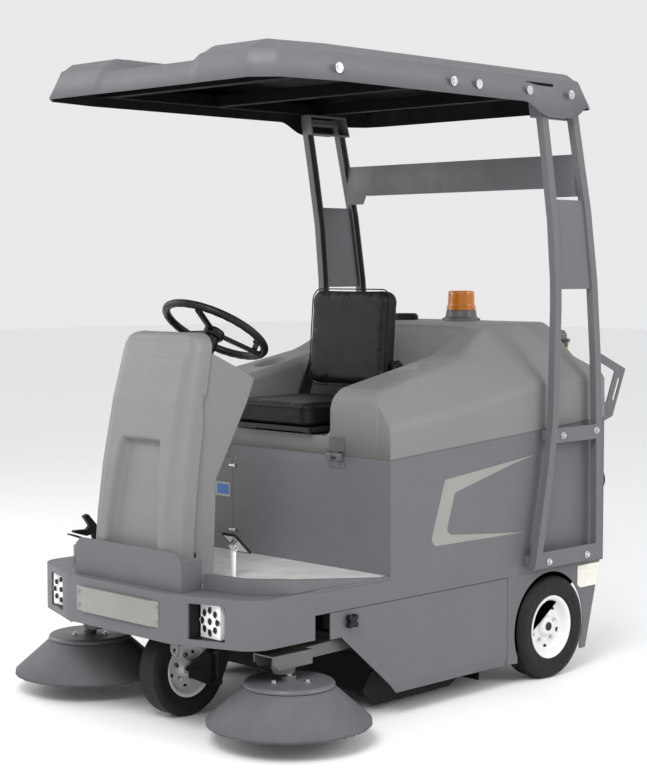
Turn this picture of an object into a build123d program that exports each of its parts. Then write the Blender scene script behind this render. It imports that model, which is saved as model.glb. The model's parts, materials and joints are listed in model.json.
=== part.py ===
from build123d import *
import os
from math import sin, cos, tan, radians

os.makedirs("parts", exist_ok=True)

# Ride-on sweeper with a canopy. +Z is up, the front faces -Y, and +X is the machine's left side.
# The origin is on the floor, under the middle of the machine. Lengths along the machine are
# given from the rear axle, and Y() turns them into the part's own frame.

# ---------------------------------------------------------------- overall
front_reach = 1480.0          # rear axle to the front of the bumper
rear_reach = 505.0            # rear axle to the rear bracket's corner
body_half = 512.5             # half width over the body sides
body_front = -804.0           # front panel, from the rear axle
body_rear = 306.0
deck_z = 447.0                # top of the platform
frame_top = 440.0             # top of the chassis rails
seam_front_z = 810.0          # joint between body and cover, at the front
seam_rear_z = 878.0
sheet = 4.0                   # body sheet
seam_gap = 0.3                # between the body's edge and the cover
axle_y = (front_reach - rear_reach) / 2


def Y(d):
    return axle_y + d


# ---------------------------------------------------------------- wheels
rear_r = 176.0
rear_w = 100.0
rear_x = 480.0                # tyre centre from the middle
rear_rim_r = 103.0
rear_pin_r = 14.0
front_r = 149.5
front_w = 88.0
front_rim_r = 84.0
front_pin_r = 9.0
wheelbase = 1211.0
run_gap = 0.05                # radial running clearance of pins

# ---------------------------------------------------------------- steering and suspension
king_y = -1165.0
king_r = 20.0
yoke_z = 332.0                # top face of the yoke plate
arm_y = -1052.0               # swing arm pivot
arm_z = 240.0
arm_x = 52.0                  # inner face of the arm plates
arm_t = 7.0
damper_y = -1128.0
wheel_tilt = 31.3             # steering wheel against the floor
wheel_y = -1069.0
wheel_z = 1207.0
wheel_r = 181.0
grip_r = 13.0

# ---------------------------------------------------------------- brushes
broom_x = 479.0
broom_y = -1208.0
broom_r = 250.0
broom_bottom = 58.0
broom_top = 188.0
broom_plate_r = 137.0
broom_pivot_y = -905.0
broom_pivot_z = 262.0
broom_pin_r = 12.0
brush_y = -505.0
brush_z = 152.0
brush_r = 149.0
brush_half = 370.0
chamber_half = 392.0          # inside of the brush chamber's side plates
chamber_front = -772.0
chamber_rear = -240.0
brush_pin_r = 14.0
brush_pulley_r = 60.0
motor_pulley_r = 35.0
belt_t = 6.0
motor_y = -700.0
motor_z = 285.0

# ---------------------------------------------------------------- body lower part
rail_bottom = 374.0
bumper_rear = -1132.0
bumper_bottom = 300.0
arch_r = 190.0
door_rear = -229.5
door_pin = (508.0, -233.2)
door_pin_r = 2.0
bin_half = 383.0
bin_bottom = 240.0
bin_top = 363.0
bin_rear = 245.0

# ---------------------------------------------------------------- posts and canopy
post_depth = 50.0
post_out = body_half + post_depth
post_in = post_out - 25.0        # inner side of the legs
post_face = 32.0                # width of a leg seen from the side
roof_half = 578.0
roof_front = -1360.0
roof_rear = 200.0
roof_bottom = 1945.0
roof_crease = 2025.0
roof_top = 2060.0
roof_wall = 10.0
roof_ceiling = 2012.0
frame_tube = 40.0

# ---------------------------------------------------------------- cover, seat
well_half = 250.0
well_floor = 868.0
hump_top = 1214.0
cover_wall = 9.0
cover_half = body_half - 0.5   # runs up between the post frames
hinge_y = -817.0
hinge_z = 812.0
hinge_x = 281.0
seat_half = 195.0
seat_front = -853.0
seat_rear = -470.0
seat_z0 = 893.0
seat_z1 = 972.0
back_half = 188.0
back_pivot_y = -436.0
back_pivot_z = 1078.0
back_tilt = 4.2
back_top = 1336.0
beacon_y = 158.0
cap_x, cap_y, cap_r = -200.0, 45.0, 48.0

rear_axis = Axis((0, Y(0), rear_r), (1, 0, 0))
front_axis = Axis((0, Y(-wheelbase), front_r), (1, 0, 0))
rear_plane = Plane(origin=(0, Y(0), rear_r), x_dir=(1, 0, 0), z_dir=(0, -1, 0))
front_plane = Plane(origin=(0, Y(-wheelbase), front_r), x_dir=(1, 0, 0), z_dir=(0, -1, 0))


def side_plane(x):
    """Plane at a given x whose own axes are the machine's Y and Z, facing +X."""
    return Plane.YZ.offset(x)


def across_plane(d):
    """Plane across the machine, d from the rear axle, with axes X and Z, facing the front."""
    return Plane.XZ.offset(-Y(d))


# ================================================================ wheels
with BuildPart() as rear_tyre_left:
    with BuildSketch(rear_plane) as tyre_s:
        with Locations((rear_x, (rear_r + rear_rim_r) / 2)):
            Rectangle(rear_w, rear_r - rear_rim_r)
        fillet(tyre_s.vertices().group_by(Axis.Z)[-1], 26)
    revolve(axis=rear_axis)
rear_tyre_left.part.label = "rear_tyre_left"
export_step(rear_tyre_left.part, "parts/rear_tyre_left.step")

with BuildPart() as rear_rim_left:
    with BuildSketch(rear_plane):
        with BuildLine():
            Polyline((rear_x - 46, rear_rim_r), (rear_x + 46, rear_rim_r), (rear_x + 46, rear_rim_r - 6),
                     (rear_x + 8, rear_rim_r - 11), (rear_x + 4, 44), (rear_x + 26, 38),
                     (rear_x + 44, 30), (rear_x + 44, 0), (rear_x + 34, 0),
                     (rear_x + 34, rear_pin_r + run_gap), (rear_x - 28, rear_pin_r + run_gap),
                     (rear_x - 28, 40), (rear_x - 6, 46), (rear_x - 6, rear_rim_r - 11),
                     (rear_x - 46, rear_rim_r - 6), close=True)
        make_face()
    revolve(axis=rear_axis)
    with BuildSketch(Plane(origin=(rear_x + 3, Y(0), rear_r), x_dir=(0, 1, 0), z_dir=(1, 0, 0))):
        with PolarLocations(64, 5, start_angle=18):
            RegularPolygon(10, 6)
    extrude(amount=16)
rear_rim_left.part.label = "rear_rim_left"
export_step(rear_rim_left.part, "parts/rear_rim_left.step")

with BuildPart() as rear_tyre_right:
    mirror(rear_tyre_left.part, about=Plane.YZ)
rear_tyre_right.part.label = "rear_tyre_right"
export_step(rear_tyre_right.part, "parts/rear_tyre_right.step")

with BuildPart() as rear_rim_right:
    mirror(rear_rim_left.part, about=Plane.YZ)
rear_rim_right.part.label = "rear_rim_right"
export_step(rear_rim_right.part, "parts/rear_rim_right.step")

with BuildPart() as front_tyre:
    with BuildSketch(front_plane) as ftyre_s:
        with Locations((0, (front_r + front_rim_r) / 2)):
            Rectangle(front_w, front_r - front_rim_r)
        fillet(ftyre_s.vertices().group_by(Axis.Z)[-1], 26)
    revolve(axis=front_axis)
front_tyre.part.label = "front_tyre"
export_step(front_tyre.part, "parts/front_tyre.step")

with BuildPart() as front_rim:
    with BuildSketch(front_plane):
        with BuildLine():
            Polyline((-40, front_rim_r), (40, front_rim_r), (40, front_rim_r - 6), (8, front_rim_r - 11),
                     (6, 30), (44, 26), (44, front_pin_r + run_gap), (-44, front_pin_r + run_gap),
                     (-44, 26), (-6, 30), (-8, front_rim_r - 11), (-40, front_rim_r - 6), close=True)
        make_face()
    revolve(axis=front_axis)
    with BuildSketch(Plane(origin=(-12, Y(-wheelbase), front_r), x_dir=(0, 1, 0), z_dir=(1, 0, 0))):
        with PolarLocations(52, 5):
            RegularPolygon(9, 6)
    extrude(amount=24)
front_rim.part.label = "front_rim"
export_step(front_rim.part, "parts/front_rim.step")

# ================================================================ front fork, swing arm and damper
with BuildPart() as fork_yoke:
    with BuildSketch(Plane.XY.offset(yoke_z - 10)):
        with Locations((0, Y((king_y + arm_y) / 2 - 6))):
            Rectangle(2 * (arm_x + 34), arm_y - king_y + 92)
    extrude(amount=10)
    with BuildSketch(Plane.XY.offset(yoke_z)):
        with Locations((0, Y(king_y))):
            Circle(king_r)
    extrude(amount=50)
    for side in (-1, 1):
        x0 = side * (arm_x + arm_t + 1) if side > 0 else side * (arm_x + arm_t + 9)
        with BuildSketch(side_plane(x0)):
            with BuildLine():
                Polyline((Y(arm_y - 32), yoke_z - 10), (Y(arm_y + 34), yoke_z - 10),
                         (Y(arm_y + 20), arm_z - 22), (Y(arm_y - 20), arm_z - 22), close=True)
            make_face()
        extrude(amount=8)
    with BuildSketch(side_plane(-(arm_x + arm_t + 9))):
        with Locations((Y(arm_y), arm_z)):
            Circle(10)
    extrude(amount=2 * (arm_x + arm_t + 9))

with BuildPart() as swing_arm:
    for side in (-1, 1):
        x0 = arm_x if side > 0 else -arm_x - arm_t
        with BuildSketch(side_plane(x0)):
            with BuildLine():
                Polyline((Y(arm_y + 20), arm_z + 6), (Y(arm_y - 4), arm_z + 21), (Y(-wheelbase - 18), front_r + 20),
                         (Y(-wheelbase - 22), front_r - 20), (Y(damper_y - 6), front_r - 66),
                         (Y(damper_y + 22), front_r - 62), (Y(arm_y + 18), arm_z - 12), close=True)
            make_face()
        extrude(amount=arm_t)
    with BuildSketch(side_plane(-arm_x)):
        with Locations((Y(arm_y), arm_z)):
            Circle(17)
    extrude(amount=2 * arm_x)
    with BuildSketch(side_plane(-arm_x - arm_t)):
        with Locations((Y(arm_y), arm_z)):
            Circle(10 + run_gap)
    extrude(amount=2 * (arm_x + arm_t), mode=Mode.SUBTRACT)
    with BuildSketch(side_plane(-arm_x - arm_t - 8)):
        with Locations((Y(-wheelbase), front_r)):
            Circle(front_pin_r)
    extrude(amount=2 * (arm_x + arm_t + 8))
    for side in (-1, 1):
        x0 = arm_x + arm_t if side > 0 else -arm_x - arm_t - 26
        with BuildSketch(side_plane(x0)):
            with Locations((Y(damper_y), front_r - 48)):
                Circle(9)
        extrude(amount=26)

with BuildPart() as damper_rods:
    with BuildSketch(Plane.XY.offset(front_r - 48)):
        with Locations((arm_x + arm_t + 14, Y(damper_y)), (-arm_x - arm_t - 14, Y(damper_y))):
            Circle(6)
    extrude(amount=158)

with BuildPart() as damper_springs:
    damper_top = yoke_z - 10
    for side in (-1, 1):
        with BuildSketch(Plane.XY.offset(damper_top - 132)):
            with Locations((side * (arm_x + arm_t + 14), Y(damper_y))):
                Circle(17)
        extrude(amount=132)
        for k in range(7):
            with BuildSketch(Plane.XY.offset(damper_top - 128 + 17 * k)):
                with Locations((side * (arm_x + arm_t + 14), Y(damper_y))):
                    Circle(22)
            extrude(amount=9)
    with BuildSketch(Plane.XY.offset(damper_top - 132)):
        with Locations((arm_x + arm_t + 14, Y(damper_y)), (-arm_x - arm_t - 14, Y(damper_y))):
            Circle(13)
    extrude(amount=122, mode=Mode.SUBTRACT)
    # the cheeks of the yoke pass beside the springs
    with BuildSketch(Plane.XY.offset(damper_top - 134)):
        with Locations((0, Y(damper_y))):
            Rectangle(2 * (arm_x + arm_t) + 1, 60)
    extrude(amount=134, mode=Mode.SUBTRACT)

with BuildPart() as steer_fork:
    add(fork_yoke.part)
    add(damper_springs.part)
steer_fork.part.label = "steer_fork"
export_step(steer_fork.part, "parts/steer_fork.step")

with BuildPart() as trailing_arm:
    add(swing_arm.part)
    add(damper_rods.part)
trailing_arm.part.label = "trailing_arm"
export_step(trailing_arm.part, "parts/trailing_arm.step")

# ================================================================ chassis
with BuildPart() as chassis_frame:
    rail_z = 380.0
    with BuildSketch(Plane.XY.offset(rail_z)):
        with Locations((420, Y((-1300 + 296) / 2)), (-420, Y((-1300 + 296) / 2))):
            Rectangle(50, 1300 + 296)
        with Locations((0, Y(-1280)), (0, Y(-1000)), (0, Y(-792)), (0, Y(-215)), (0, Y(276))):
            Rectangle(840, 40)
    extrude(amount=frame_top - rail_z)
    with BuildSketch(Plane.XY.offset(rail_z)):
        with Locations((420, Y((-1300 + 296) / 2)), (-420, Y((-1300 + 296) / 2))):
            Rectangle(40, 1300 + 286)
        with Locations((0, Y(-1280)), (0, Y(-1000)), (0, Y(-792)), (0, Y(-215)), (0, Y(276))):
            Rectangle(780, 30)
    extrude(amount=frame_top - rail_z - 5, mode=Mode.SUBTRACT)
    # hangers for the broom arms' pivot shaft
    for x0 in (-395, -300, 292, 387):
        with BuildSketch(side_plane(x0)):
            with BuildLine():
                Polyline((Y(broom_pivot_y - 26), rail_z + 2), (Y(broom_pivot_y + 26), rail_z + 2),
                         (Y(broom_pivot_y + 20), broom_pivot_z - 20), (Y(broom_pivot_y - 20), broom_pivot_z - 20),
                         close=True)
            make_face()
        extrude(amount=8)
    for y0 in (broom_pivot_y - 26, broom_pivot_y + 18):
        with BuildSketch(Plane.XY.offset(rail_z - 4)):
            with Locations((0, Y(y0 + 4))):
                Rectangle(840, 8)
        extrude(amount=8)
    with BuildSketch(side_plane(-500)):
        with Locations((Y(broom_pivot_y), broom_pivot_z)):
            Circle(broom_pin_r)
    extrude(amount=1000)
    # steering head
    with BuildSketch(Plane.XY.offset(368)):
        with Locations((0, Y(king_y))):
            Rectangle(890, 150)
    extrude(amount=12)
    with BuildSketch(Plane.XY.offset(yoke_z + 1)):
        with Locations((0, Y(king_y))):
            Circle(36)
    extrude(amount=368 - yoke_z - 1)
    with BuildSketch(Plane.XY.offset(yoke_z)):
        with Locations((0, Y(king_y))):
            Circle(king_r + run_gap)
    extrude(amount=100, mode=Mode.SUBTRACT)
    # runners of the dust bin
    with BuildSketch(across_plane(275)):
        for side in (-1, 1):
            with BuildLine():
                Polyline((side * 394, rail_z), (side * 398, rail_z), (side * 398, bin_top - 7.7),
                         (side * 385, bin_top - 7.7), (side * 385, bin_top - 3.7), (side * 394, bin_top - 3.7),
                         close=True)
            make_face()
    extrude(amount=275 + 232)
chassis_frame.part.label = "chassis_frame"
export_step(chassis_frame.part, "parts/chassis_frame.step")

with BuildPart() as drive_axle:
    hanger_x = 400.3
    with BuildSketch(side_plane(-hanger_x - 8)):
        with Locations((Y(0), rear_r)):
            Circle(30)
    extrude(amount=2 * (hanger_x + 8))
    with BuildSketch(side_plane(-rear_x - 32)):
        with Locations((Y(0), rear_r)):
            Circle(rear_pin_r)
    extrude(amount=2 * (rear_x + 32))
    with BuildSketch(side_plane(-80)):
        with Locations((Y(0), rear_r)):
            Circle(58)
    extrude(amount=160)
    with BuildSketch(side_plane(-250)):
        with Locations((Y(62), rear_r - 12)):
            Circle(46)
    extrude(amount=190)
    # hanger plates up to the rails
    for x0 in (hanger_x, -hanger_x - 6):
        with BuildSketch(side_plane(x0)):
            with BuildLine():
                Polyline((Y(-45), rail_z + 30), (Y(45), rail_z + 30), (Y(45), rear_r + 10), (Y(20), rear_r - 40),
                         (Y(-20), rear_r - 40), (Y(-45), rear_r + 10), close=True)
            make_face()
        extrude(amount=6)
drive_axle.part.label = "drive_axle"
export_step(drive_axle.part, "parts/drive_axle.step")

# ================================================================ side brooms
with BuildPart() as broom_brush_left:
    with BuildSketch(Plane(origin=(broom_x, Y(broom_y), 0), x_dir=(1, 0, 0), z_dir=(0, -1, 0))):
        with BuildLine():
            Polyline((broom_plate_r - 22, broom_top - 22), (broom_plate_r - 2, broom_top - 14),
                     (broom_r, broom_bottom + 12), (broom_r - 4, broom_bottom), (broom_r - 30, broom_bottom),
                     (broom_plate_r - 60, broom_top - 30), close=True)
        make_face()
    revolve(axis=Axis((broom_x, Y(broom_y), 0), (0, 0, 1)))

with BuildPart() as broom_plate_left:
    with BuildSketch(Plane(origin=(broom_x, Y(broom_y), 0), x_dir=(1, 0, 0), z_dir=(0, -1, 0))):
        with BuildLine():
            Polyline((0, broom_top + 14), (22, broom_top + 14), (22, broom_top), (broom_plate_r - 4, broom_top),
                     (broom_plate_r, broom_top - 6), (broom_plate_r, broom_top - 13),
                     (broom_plate_r - 22, broom_top - 13), (broom_plate_r - 22, broom_top - 21.7),
                     (broom_plate_r - 60, broom_top - 29.7), (0, broom_top - 29.7), close=True)
        make_face()
    revolve(axis=Axis((broom_x, Y(broom_y), 0), (0, 0, 1)))
    with BuildSketch(Plane.XY.offset(broom_top + 14)):
        with Locations((broom_x, Y(broom_y))):
            Circle(9)
    extrude(amount=30)

with BuildPart() as broom_motor_left:
    with BuildSketch(Plane.XY.offset(broom_top + 20)):
        with Locations((broom_x - 24, Y(broom_y))):
            Circle(34)
    extrude(amount=12)
    with BuildSketch(Plane.XY.offset(broom_top + 20)):
        with Locations((broom_x, Y(broom_y))):
            Circle(9 + run_gap)
    extrude(amount=30, mode=Mode.SUBTRACT)
    with BuildSketch(Plane.XY.offset(broom_top + 32)):
        with Locations((broom_x - 24, Y(broom_y))):
            Circle(38)
        with Locations((broom_x, Y(broom_y))):
            Circle(9 + run_gap, mode=Mode.SUBTRACT)
    extrude(amount=18)
    with BuildSketch(Plane.XY.offset(broom_top + 50)):
        with Locations((broom_x - 24, Y(broom_y))):
            Circle(38)
    extrude(amount=30)

with BuildPart() as broom_arm_left:
    arm_z0 = broom_top + 80          # the bracket lies on the motor
    with BuildSketch(Plane.XY.offset(arm_z0)):
        with Locations((broom_x - 20, Y(broom_y - 5))):
            Rectangle(86, 160)
    extrude(amount=5)
    for x0 in (broom_x - 63, broom_x + 18):
        with BuildSketch(side_plane(x0)):
            with BuildLine():
                Polyline((Y(broom_y - 85), arm_z0 + 5), (Y(broom_y + 75), arm_z0 + 5),
                         (Y(broom_y + 75), arm_z0 - 38), (Y(broom_y - 62), arm_z0 - 38),
                         (Y(broom_y - 85), arm_z0 - 20), close=True)
            make_face()
        extrude(amount=5)
    with BuildSketch(side_plane(broom_x - 35)):
        with BuildLine():
            Polyline((Y(broom_y + 70), arm_z0 + 5), (Y(broom_pivot_y), broom_pivot_z + 20),
                     (Y(broom_pivot_y), broom_pivot_z - 20), (Y(broom_y + 70), arm_z0 - 30), close=True)
        make_face()
    extrude(amount=30)
    with BuildSketch(side_plane(broom_x - 40)):
        with Locations((Y(broom_pivot_y), broom_pivot_z)):
            Circle(22)
    extrude(amount=40)
    with BuildSketch(side_plane(broom_x - 40)):
        with Locations((Y(broom_pivot_y), broom_pivot_z)):
            Circle(broom_pin_r + run_gap)
    extrude(amount=40, mode=Mode.SUBTRACT)
    add(broom_motor_left.part)
broom_arm_left.part.label = "broom_arm_left"
export_step(broom_arm_left.part, "parts/broom_arm_left.step")

with BuildPart() as side_broom_left:
    add(broom_brush_left.part)
    add(broom_plate_left.part)
side_broom_left.part.label = "side_broom_left"
export_step(side_broom_left.part, "parts/side_broom_left.step")

with BuildPart() as side_broom_right:
    mirror(side_broom_left.part, about=Plane.YZ)
side_broom_right.part.label = "side_broom_right"
export_step(side_broom_right.part, "parts/side_broom_right.step")

with BuildPart() as broom_arm_right:
    mirror(broom_arm_left.part, about=Plane.YZ)
broom_arm_right.part.label = "broom_arm_right"
export_step(broom_arm_right.part, "parts/broom_arm_right.step")

# ================================================================ main brush, its chamber and drive
with BuildPart() as main_brush:
    with BuildSketch(side_plane(-brush_half)):
        with Locations((Y(brush_y), brush_z)):
            Circle(brush_r)
            Circle(brush_r - 95, mode=Mode.SUBTRACT)
    extrude(amount=2 * brush_half)
    with BuildSketch(side_plane(-brush_half)):
        with Locations((Y(brush_y), brush_z)):
            Circle(brush_r - 94)
    extrude(amount=8)
    with BuildSketch(side_plane(brush_half - 8)):
        with Locations((Y(brush_y), brush_z)):
            Circle(brush_r - 94)
    extrude(amount=8)
    with BuildSketch(side_plane(-chamber_half - 26)):
        with Locations((Y(brush_y), brush_z)):
            Circle(brush_pin_r)
    extrude(amount=2 * chamber_half + 30)
    with BuildSketch(side_plane(-chamber_half - 24)):
        with Locations((Y(brush_y), brush_z)):
            Circle(brush_pulley_r)
    extrude(amount=16)
main_brush.part.label = "main_brush"
export_step(main_brush.part, "parts/main_brush.step")

with BuildPart() as brush_housing:
    for x0 in (chamber_half, -chamber_half - 4):
        with BuildSketch(side_plane(x0)):
            with BuildLine():
                Polyline((Y(chamber_front), rail_z), (Y(chamber_rear), rail_z), (Y(chamber_rear), 60),
                         (Y(chamber_front + 60), 60), (Y(chamber_front), 120), close=True)
            make_face()
            with Locations((Y(brush_y), brush_z)):
                Circle(brush_pin_r + run_gap, mode=Mode.SUBTRACT)
            with Locations((Y(motor_y), motor_z)):
                Circle(14, mode=Mode.SUBTRACT)
        extrude(amount=4)
    with BuildSketch(side_plane(-chamber_half)):
        with BuildLine():
            Polyline((Y(chamber_front), 120), (Y(chamber_front), 334), (Y(chamber_rear), 334),
                     (Y(chamber_rear), 330), (Y(chamber_front + 4), 330), (Y(chamber_front + 4), 120), close=True)
        make_face()
        with Locations((Y(chamber_rear - 2), 138)):
            Rectangle(4, 156)
    extrude(amount=2 * chamber_half)
brush_housing.part.label = "brush_housing"
export_step(brush_housing.part, "parts/brush_housing.step")

with BuildPart() as rubber_skirts:
    for x0 in (chamber_half + 4, -chamber_half - 10):
        with BuildSketch(side_plane(x0)):
            with BuildLine():
                Polyline((Y(chamber_front), 130), (Y(chamber_rear - 60), 130), (Y(chamber_rear - 60), 62),
                         (Y(chamber_rear - 160), 18), (Y(chamber_front + 5), 18), (Y(chamber_front - 40), 76),
                         close=True)
            make_face()
            with Locations((Y(brush_y), brush_z)):
                Circle(brush_pulley_r + 12, mode=Mode.SUBTRACT)
        extrude(amount=6)
    with BuildSketch(side_plane(-chamber_half - 4)):
        with Locations((Y(chamber_rear + 3), 75)):
            Rectangle(6, 130)
    extrude(amount=2 * chamber_half + 8)
    with BuildSketch(side_plane(-chamber_half - 4)):
        with Locations((Y(chamber_front - 3), 115)):
            Rectangle(6, 120)
    extrude(amount=2 * chamber_half + 8)
rubber_skirts.part.label = "rubber_skirts"
export_step(rubber_skirts.part, "parts/rubber_skirts.step")

with BuildPart() as brush_motor:
    with BuildSketch(side_plane(-500)):
        with Locations((Y(motor_y), motor_z)):
            Circle(40)
    extrude(amount=72)
    with BuildSketch(side_plane(-500)):
        with Locations((Y(motor_y), (motor_z + rail_z) / 2)):
            Rectangle(60, rail_z - motor_z)
    extrude(amount=70)
    with BuildSketch(side_plane(-500)):
        with Locations((Y(motor_y), motor_z)):
            Circle(8 + run_gap)
    extrude(amount=72, mode=Mode.SUBTRACT)
    # the rail's underside carries the mounting block
    with BuildSketch(side_plane(-500)):
        with Locations((Y(motor_y), rail_z - 20)):
            Rectangle(60, 100)
    extrude(amount=24, mode=Mode.SUBTRACT)
brush_motor.part.label = "brush_motor"
export_step(brush_motor.part, "parts/brush_motor.step")

with BuildPart() as motor_pulley:
    with BuildSketch(side_plane(-chamber_half - 24)):
        with Locations((Y(motor_y), motor_z)):
            Circle(motor_pulley_r)
    extrude(amount=16)
    with BuildSketch(side_plane(-490)):
        with Locations((Y(motor_y), motor_z)):
            Circle(8)
    extrude(amount=90)
motor_pulley.part.label = "motor_pulley"
export_step(motor_pulley.part, "parts/motor_pulley.step")

with BuildPart() as drive_belt:
    with BuildSketch(side_plane(-chamber_half - 22)):
        with BuildSketch(mode=Mode.ADD) as belt_outer:
            with Locations((Y(brush_y), brush_z)):
                Circle(brush_pulley_r + 0.3 + belt_t)
            with Locations((Y(motor_y), motor_z)):
                Circle(motor_pulley_r + 0.3 + belt_t)
            make_hull()
        with BuildSketch(mode=Mode.SUBTRACT) as belt_inner:
            with Locations((Y(brush_y), brush_z)):
                Circle(brush_pulley_r + 0.3)
            with Locations((Y(motor_y), motor_z)):
                Circle(motor_pulley_r + 0.3)
            make_hull()
    extrude(amount=12)
drive_belt.part.label = "drive_belt"
export_step(drive_belt.part, "parts/drive_belt.step")

# ================================================================ lower body: rails, arches, doors
rail_in = 480.0
with BuildPart() as side_rails:
    with BuildSketch(across_plane(body_rear)):
        with BuildLine():
            Polyline((rail_in, rail_bottom), (body_half, rail_bottom), (body_half, frame_top),
                     (rail_in, frame_top), (rail_in, frame_top - sheet), (body_half - sheet, frame_top - sheet),
                     (body_half - sheet, rail_bottom + sheet), (rail_in, rail_bottom + sheet), close=True)
        make_face()
    extrude(amount=body_rear - bumper_rear)
    # brackets that tie the rail to the chassis
    with BuildSketch(Plane.XY.offset(frame_top - sheet - 30)):
        with Locations((476, Y(-950)), (476, Y(-300)), (476, Y(220))):
            Rectangle(62, 40)
    extrude(amount=30)
    # pivot pin of the side door
    with BuildSketch(Plane.XY.offset(118)):
        with Locations((door_pin[0], Y(door_pin[1]))):
            Circle(door_pin_r)
    extrude(amount=rail_bottom - 118)
    mirror(about=Plane.YZ)
side_rails.part.label = "side_rails"
export_step(side_rails.part, "parts/side_rails.step")

with BuildPart() as wheel_arches:
    with BuildSketch(side_plane(body_half - sheet)):
        with BuildLine():
            Polyline((Y(-227), rail_bottom), (Y(body_rear - 18), rail_bottom), (Y(206), 73),
                     (Y(150), 73), (Y(-150), 73), (Y(-227), 79), close=True)
        make_face()
        with Locations((Y(0), rear_r)):
            Circle(arch_r, mode=Mode.SUBTRACT)
        with Locations((Y(0), 60)):
            Rectangle(2 * arch_r - 34, 120, mode=Mode.SUBTRACT)
    extrude(amount=sheet)
    # inner lip along the seam and stays to the chassis rail
    with BuildSketch(side_plane(414)):
        with Locations((Y(-217), 340), (Y(225), 340)):
            Rectangle(8, 67)
    extrude(amount=body_half - sheet - 414)
    with BuildSketch(side_plane(430)):
        with Locations((Y(-217), 340), (Y(225), 340)):
            Rectangle(8, 67)
    extrude(amount=10)
    mirror(about=Plane.YZ)
wheel_arches.part.label = "wheel_arches"
export_step(wheel_arches.part, "parts/wheel_arches.step")

with BuildPart() as side_door_left:
    with BuildSketch(side_plane(body_half - 3)):
        with BuildLine():
            Polyline((Y(-1068), rail_bottom - 2), (Y(door_rear), rail_bottom - 2), (Y(door_rear), 112),
                     (Y(-806), 112), (Y(-1021), 292), (Y(-1068), 292), close=True)
        make_face()
        with Locations((Y(-986), 339)):
            Circle(5 + run_gap, mode=Mode.SUBTRACT)
    extrude(amount=3)
    # lower edge, folded slightly inwards
    with BuildSketch(across_plane(door_rear)):
        with BuildLine():
            Polyline((body_half - 3, 112), (body_half, 112), (body_half - 6, 78), (body_half - 9, 78), close=True)
        make_face()
    extrude(amount=806 + door_rear)
    with BuildSketch(side_plane(body_half - 12)):
        with BuildLine():
            Polyline((Y(-806), 112), (Y(-769), 78), (Y(-860), 78), (Y(-860), 112), close=True)
        make_face()
    extrude(amount=14, mode=Mode.SUBTRACT)
    # pivot eyes
    for z0 in (352, 220, 124):
        with BuildSketch(Plane.XY.offset(z0)):
            with Locations((door_pin[0], Y(door_pin[1]))):
                Circle(4.5)
        extrude(amount=12)
    with BuildSketch(Plane.XY.offset(80)):
        with Locations((door_pin[0], Y(door_pin[1]))):
            Circle(door_pin_r + run_gap)
    extrude(amount=300, mode=Mode.SUBTRACT)
side_door_left.part.label = "side_door_left"
export_step(side_door_left.part, "parts/side_door_left.step")

with BuildPart() as side_door_right:
    mirror(side_door_left.part, about=Plane.YZ)
side_door_right.part.label = "side_door_right"
export_step(side_door_right.part, "parts/side_door_right.step")

with BuildPart() as star_knob_left:
    with BuildSketch(side_plane(body_half + 4)):
        with Locations((Y(-986), 339)):
            Circle(14)
        with Locations((Y(-986), 339)):
            with PolarLocations(17, 4, start_angle=45):
                Circle(8)
    extrude(amount=16)
    with BuildSketch(side_plane(body_half + 0.3)):
        with Locations((Y(-986), 339)):
            Circle(11)
    extrude(amount=4)
    with BuildSketch(side_plane(body_half - 6)):
        with Locations((Y(-986), 339)):
            Circle(5)
    extrude(amount=8)
star_knob_left.part.label = "star_knob_left"
export_step(star_knob_left.part, "parts/star_knob_left.step")

with BuildPart() as star_knob_right:
    mirror(star_knob_left.part, about=Plane.YZ)
star_knob_right.part.label = "star_knob_right"
export_step(star_knob_right.part, "parts/star_knob_right.step")

with BuildPart() as side_reflectors:
    with BuildSketch(side_plane(body_half)):
        with BuildLine():
            Polyline((Y(156), 367), (Y(283), 367), (Y(262), 289), (Y(172), 289), (Y(156), 300), close=True)
        make_face()
    extrude(amount=2)
    mirror(about=Plane.YZ)
side_reflectors.part.label = "side_reflectors"
export_step(side_reflectors.part, "parts/side_reflectors.step")

# ================================================================ upper body
def seam_z(d):
    """Height of the joint between body and cover, d from the rear axle."""
    return seam_front_z + (seam_rear_z - seam_front_z) * (d - body_front) / (body_rear - body_front)


with BuildPart() as body_panels:
    with BuildSketch(side_plane(body_half - sheet)):
        with BuildLine():
            Polyline((Y(body_front), frame_top), (Y(body_rear), frame_top), (Y(body_rear), seam_rear_z - seam_gap),
                     (Y(body_front), seam_front_z - seam_gap), close=True)
        make_face()
    extrude(amount=sheet)
    mirror(about=Plane.YZ)
    with BuildSketch(across_plane(body_rear)):
        with Locations((0, (frame_top + seam_rear_z - seam_gap) / 2)):
            Rectangle(2 * (body_half - sheet), seam_rear_z - seam_gap - frame_top)
    extrude(amount=sheet)
body_panels.part.label = "body_panels"
export_step(body_panels.part, "parts/body_panels.step")

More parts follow.
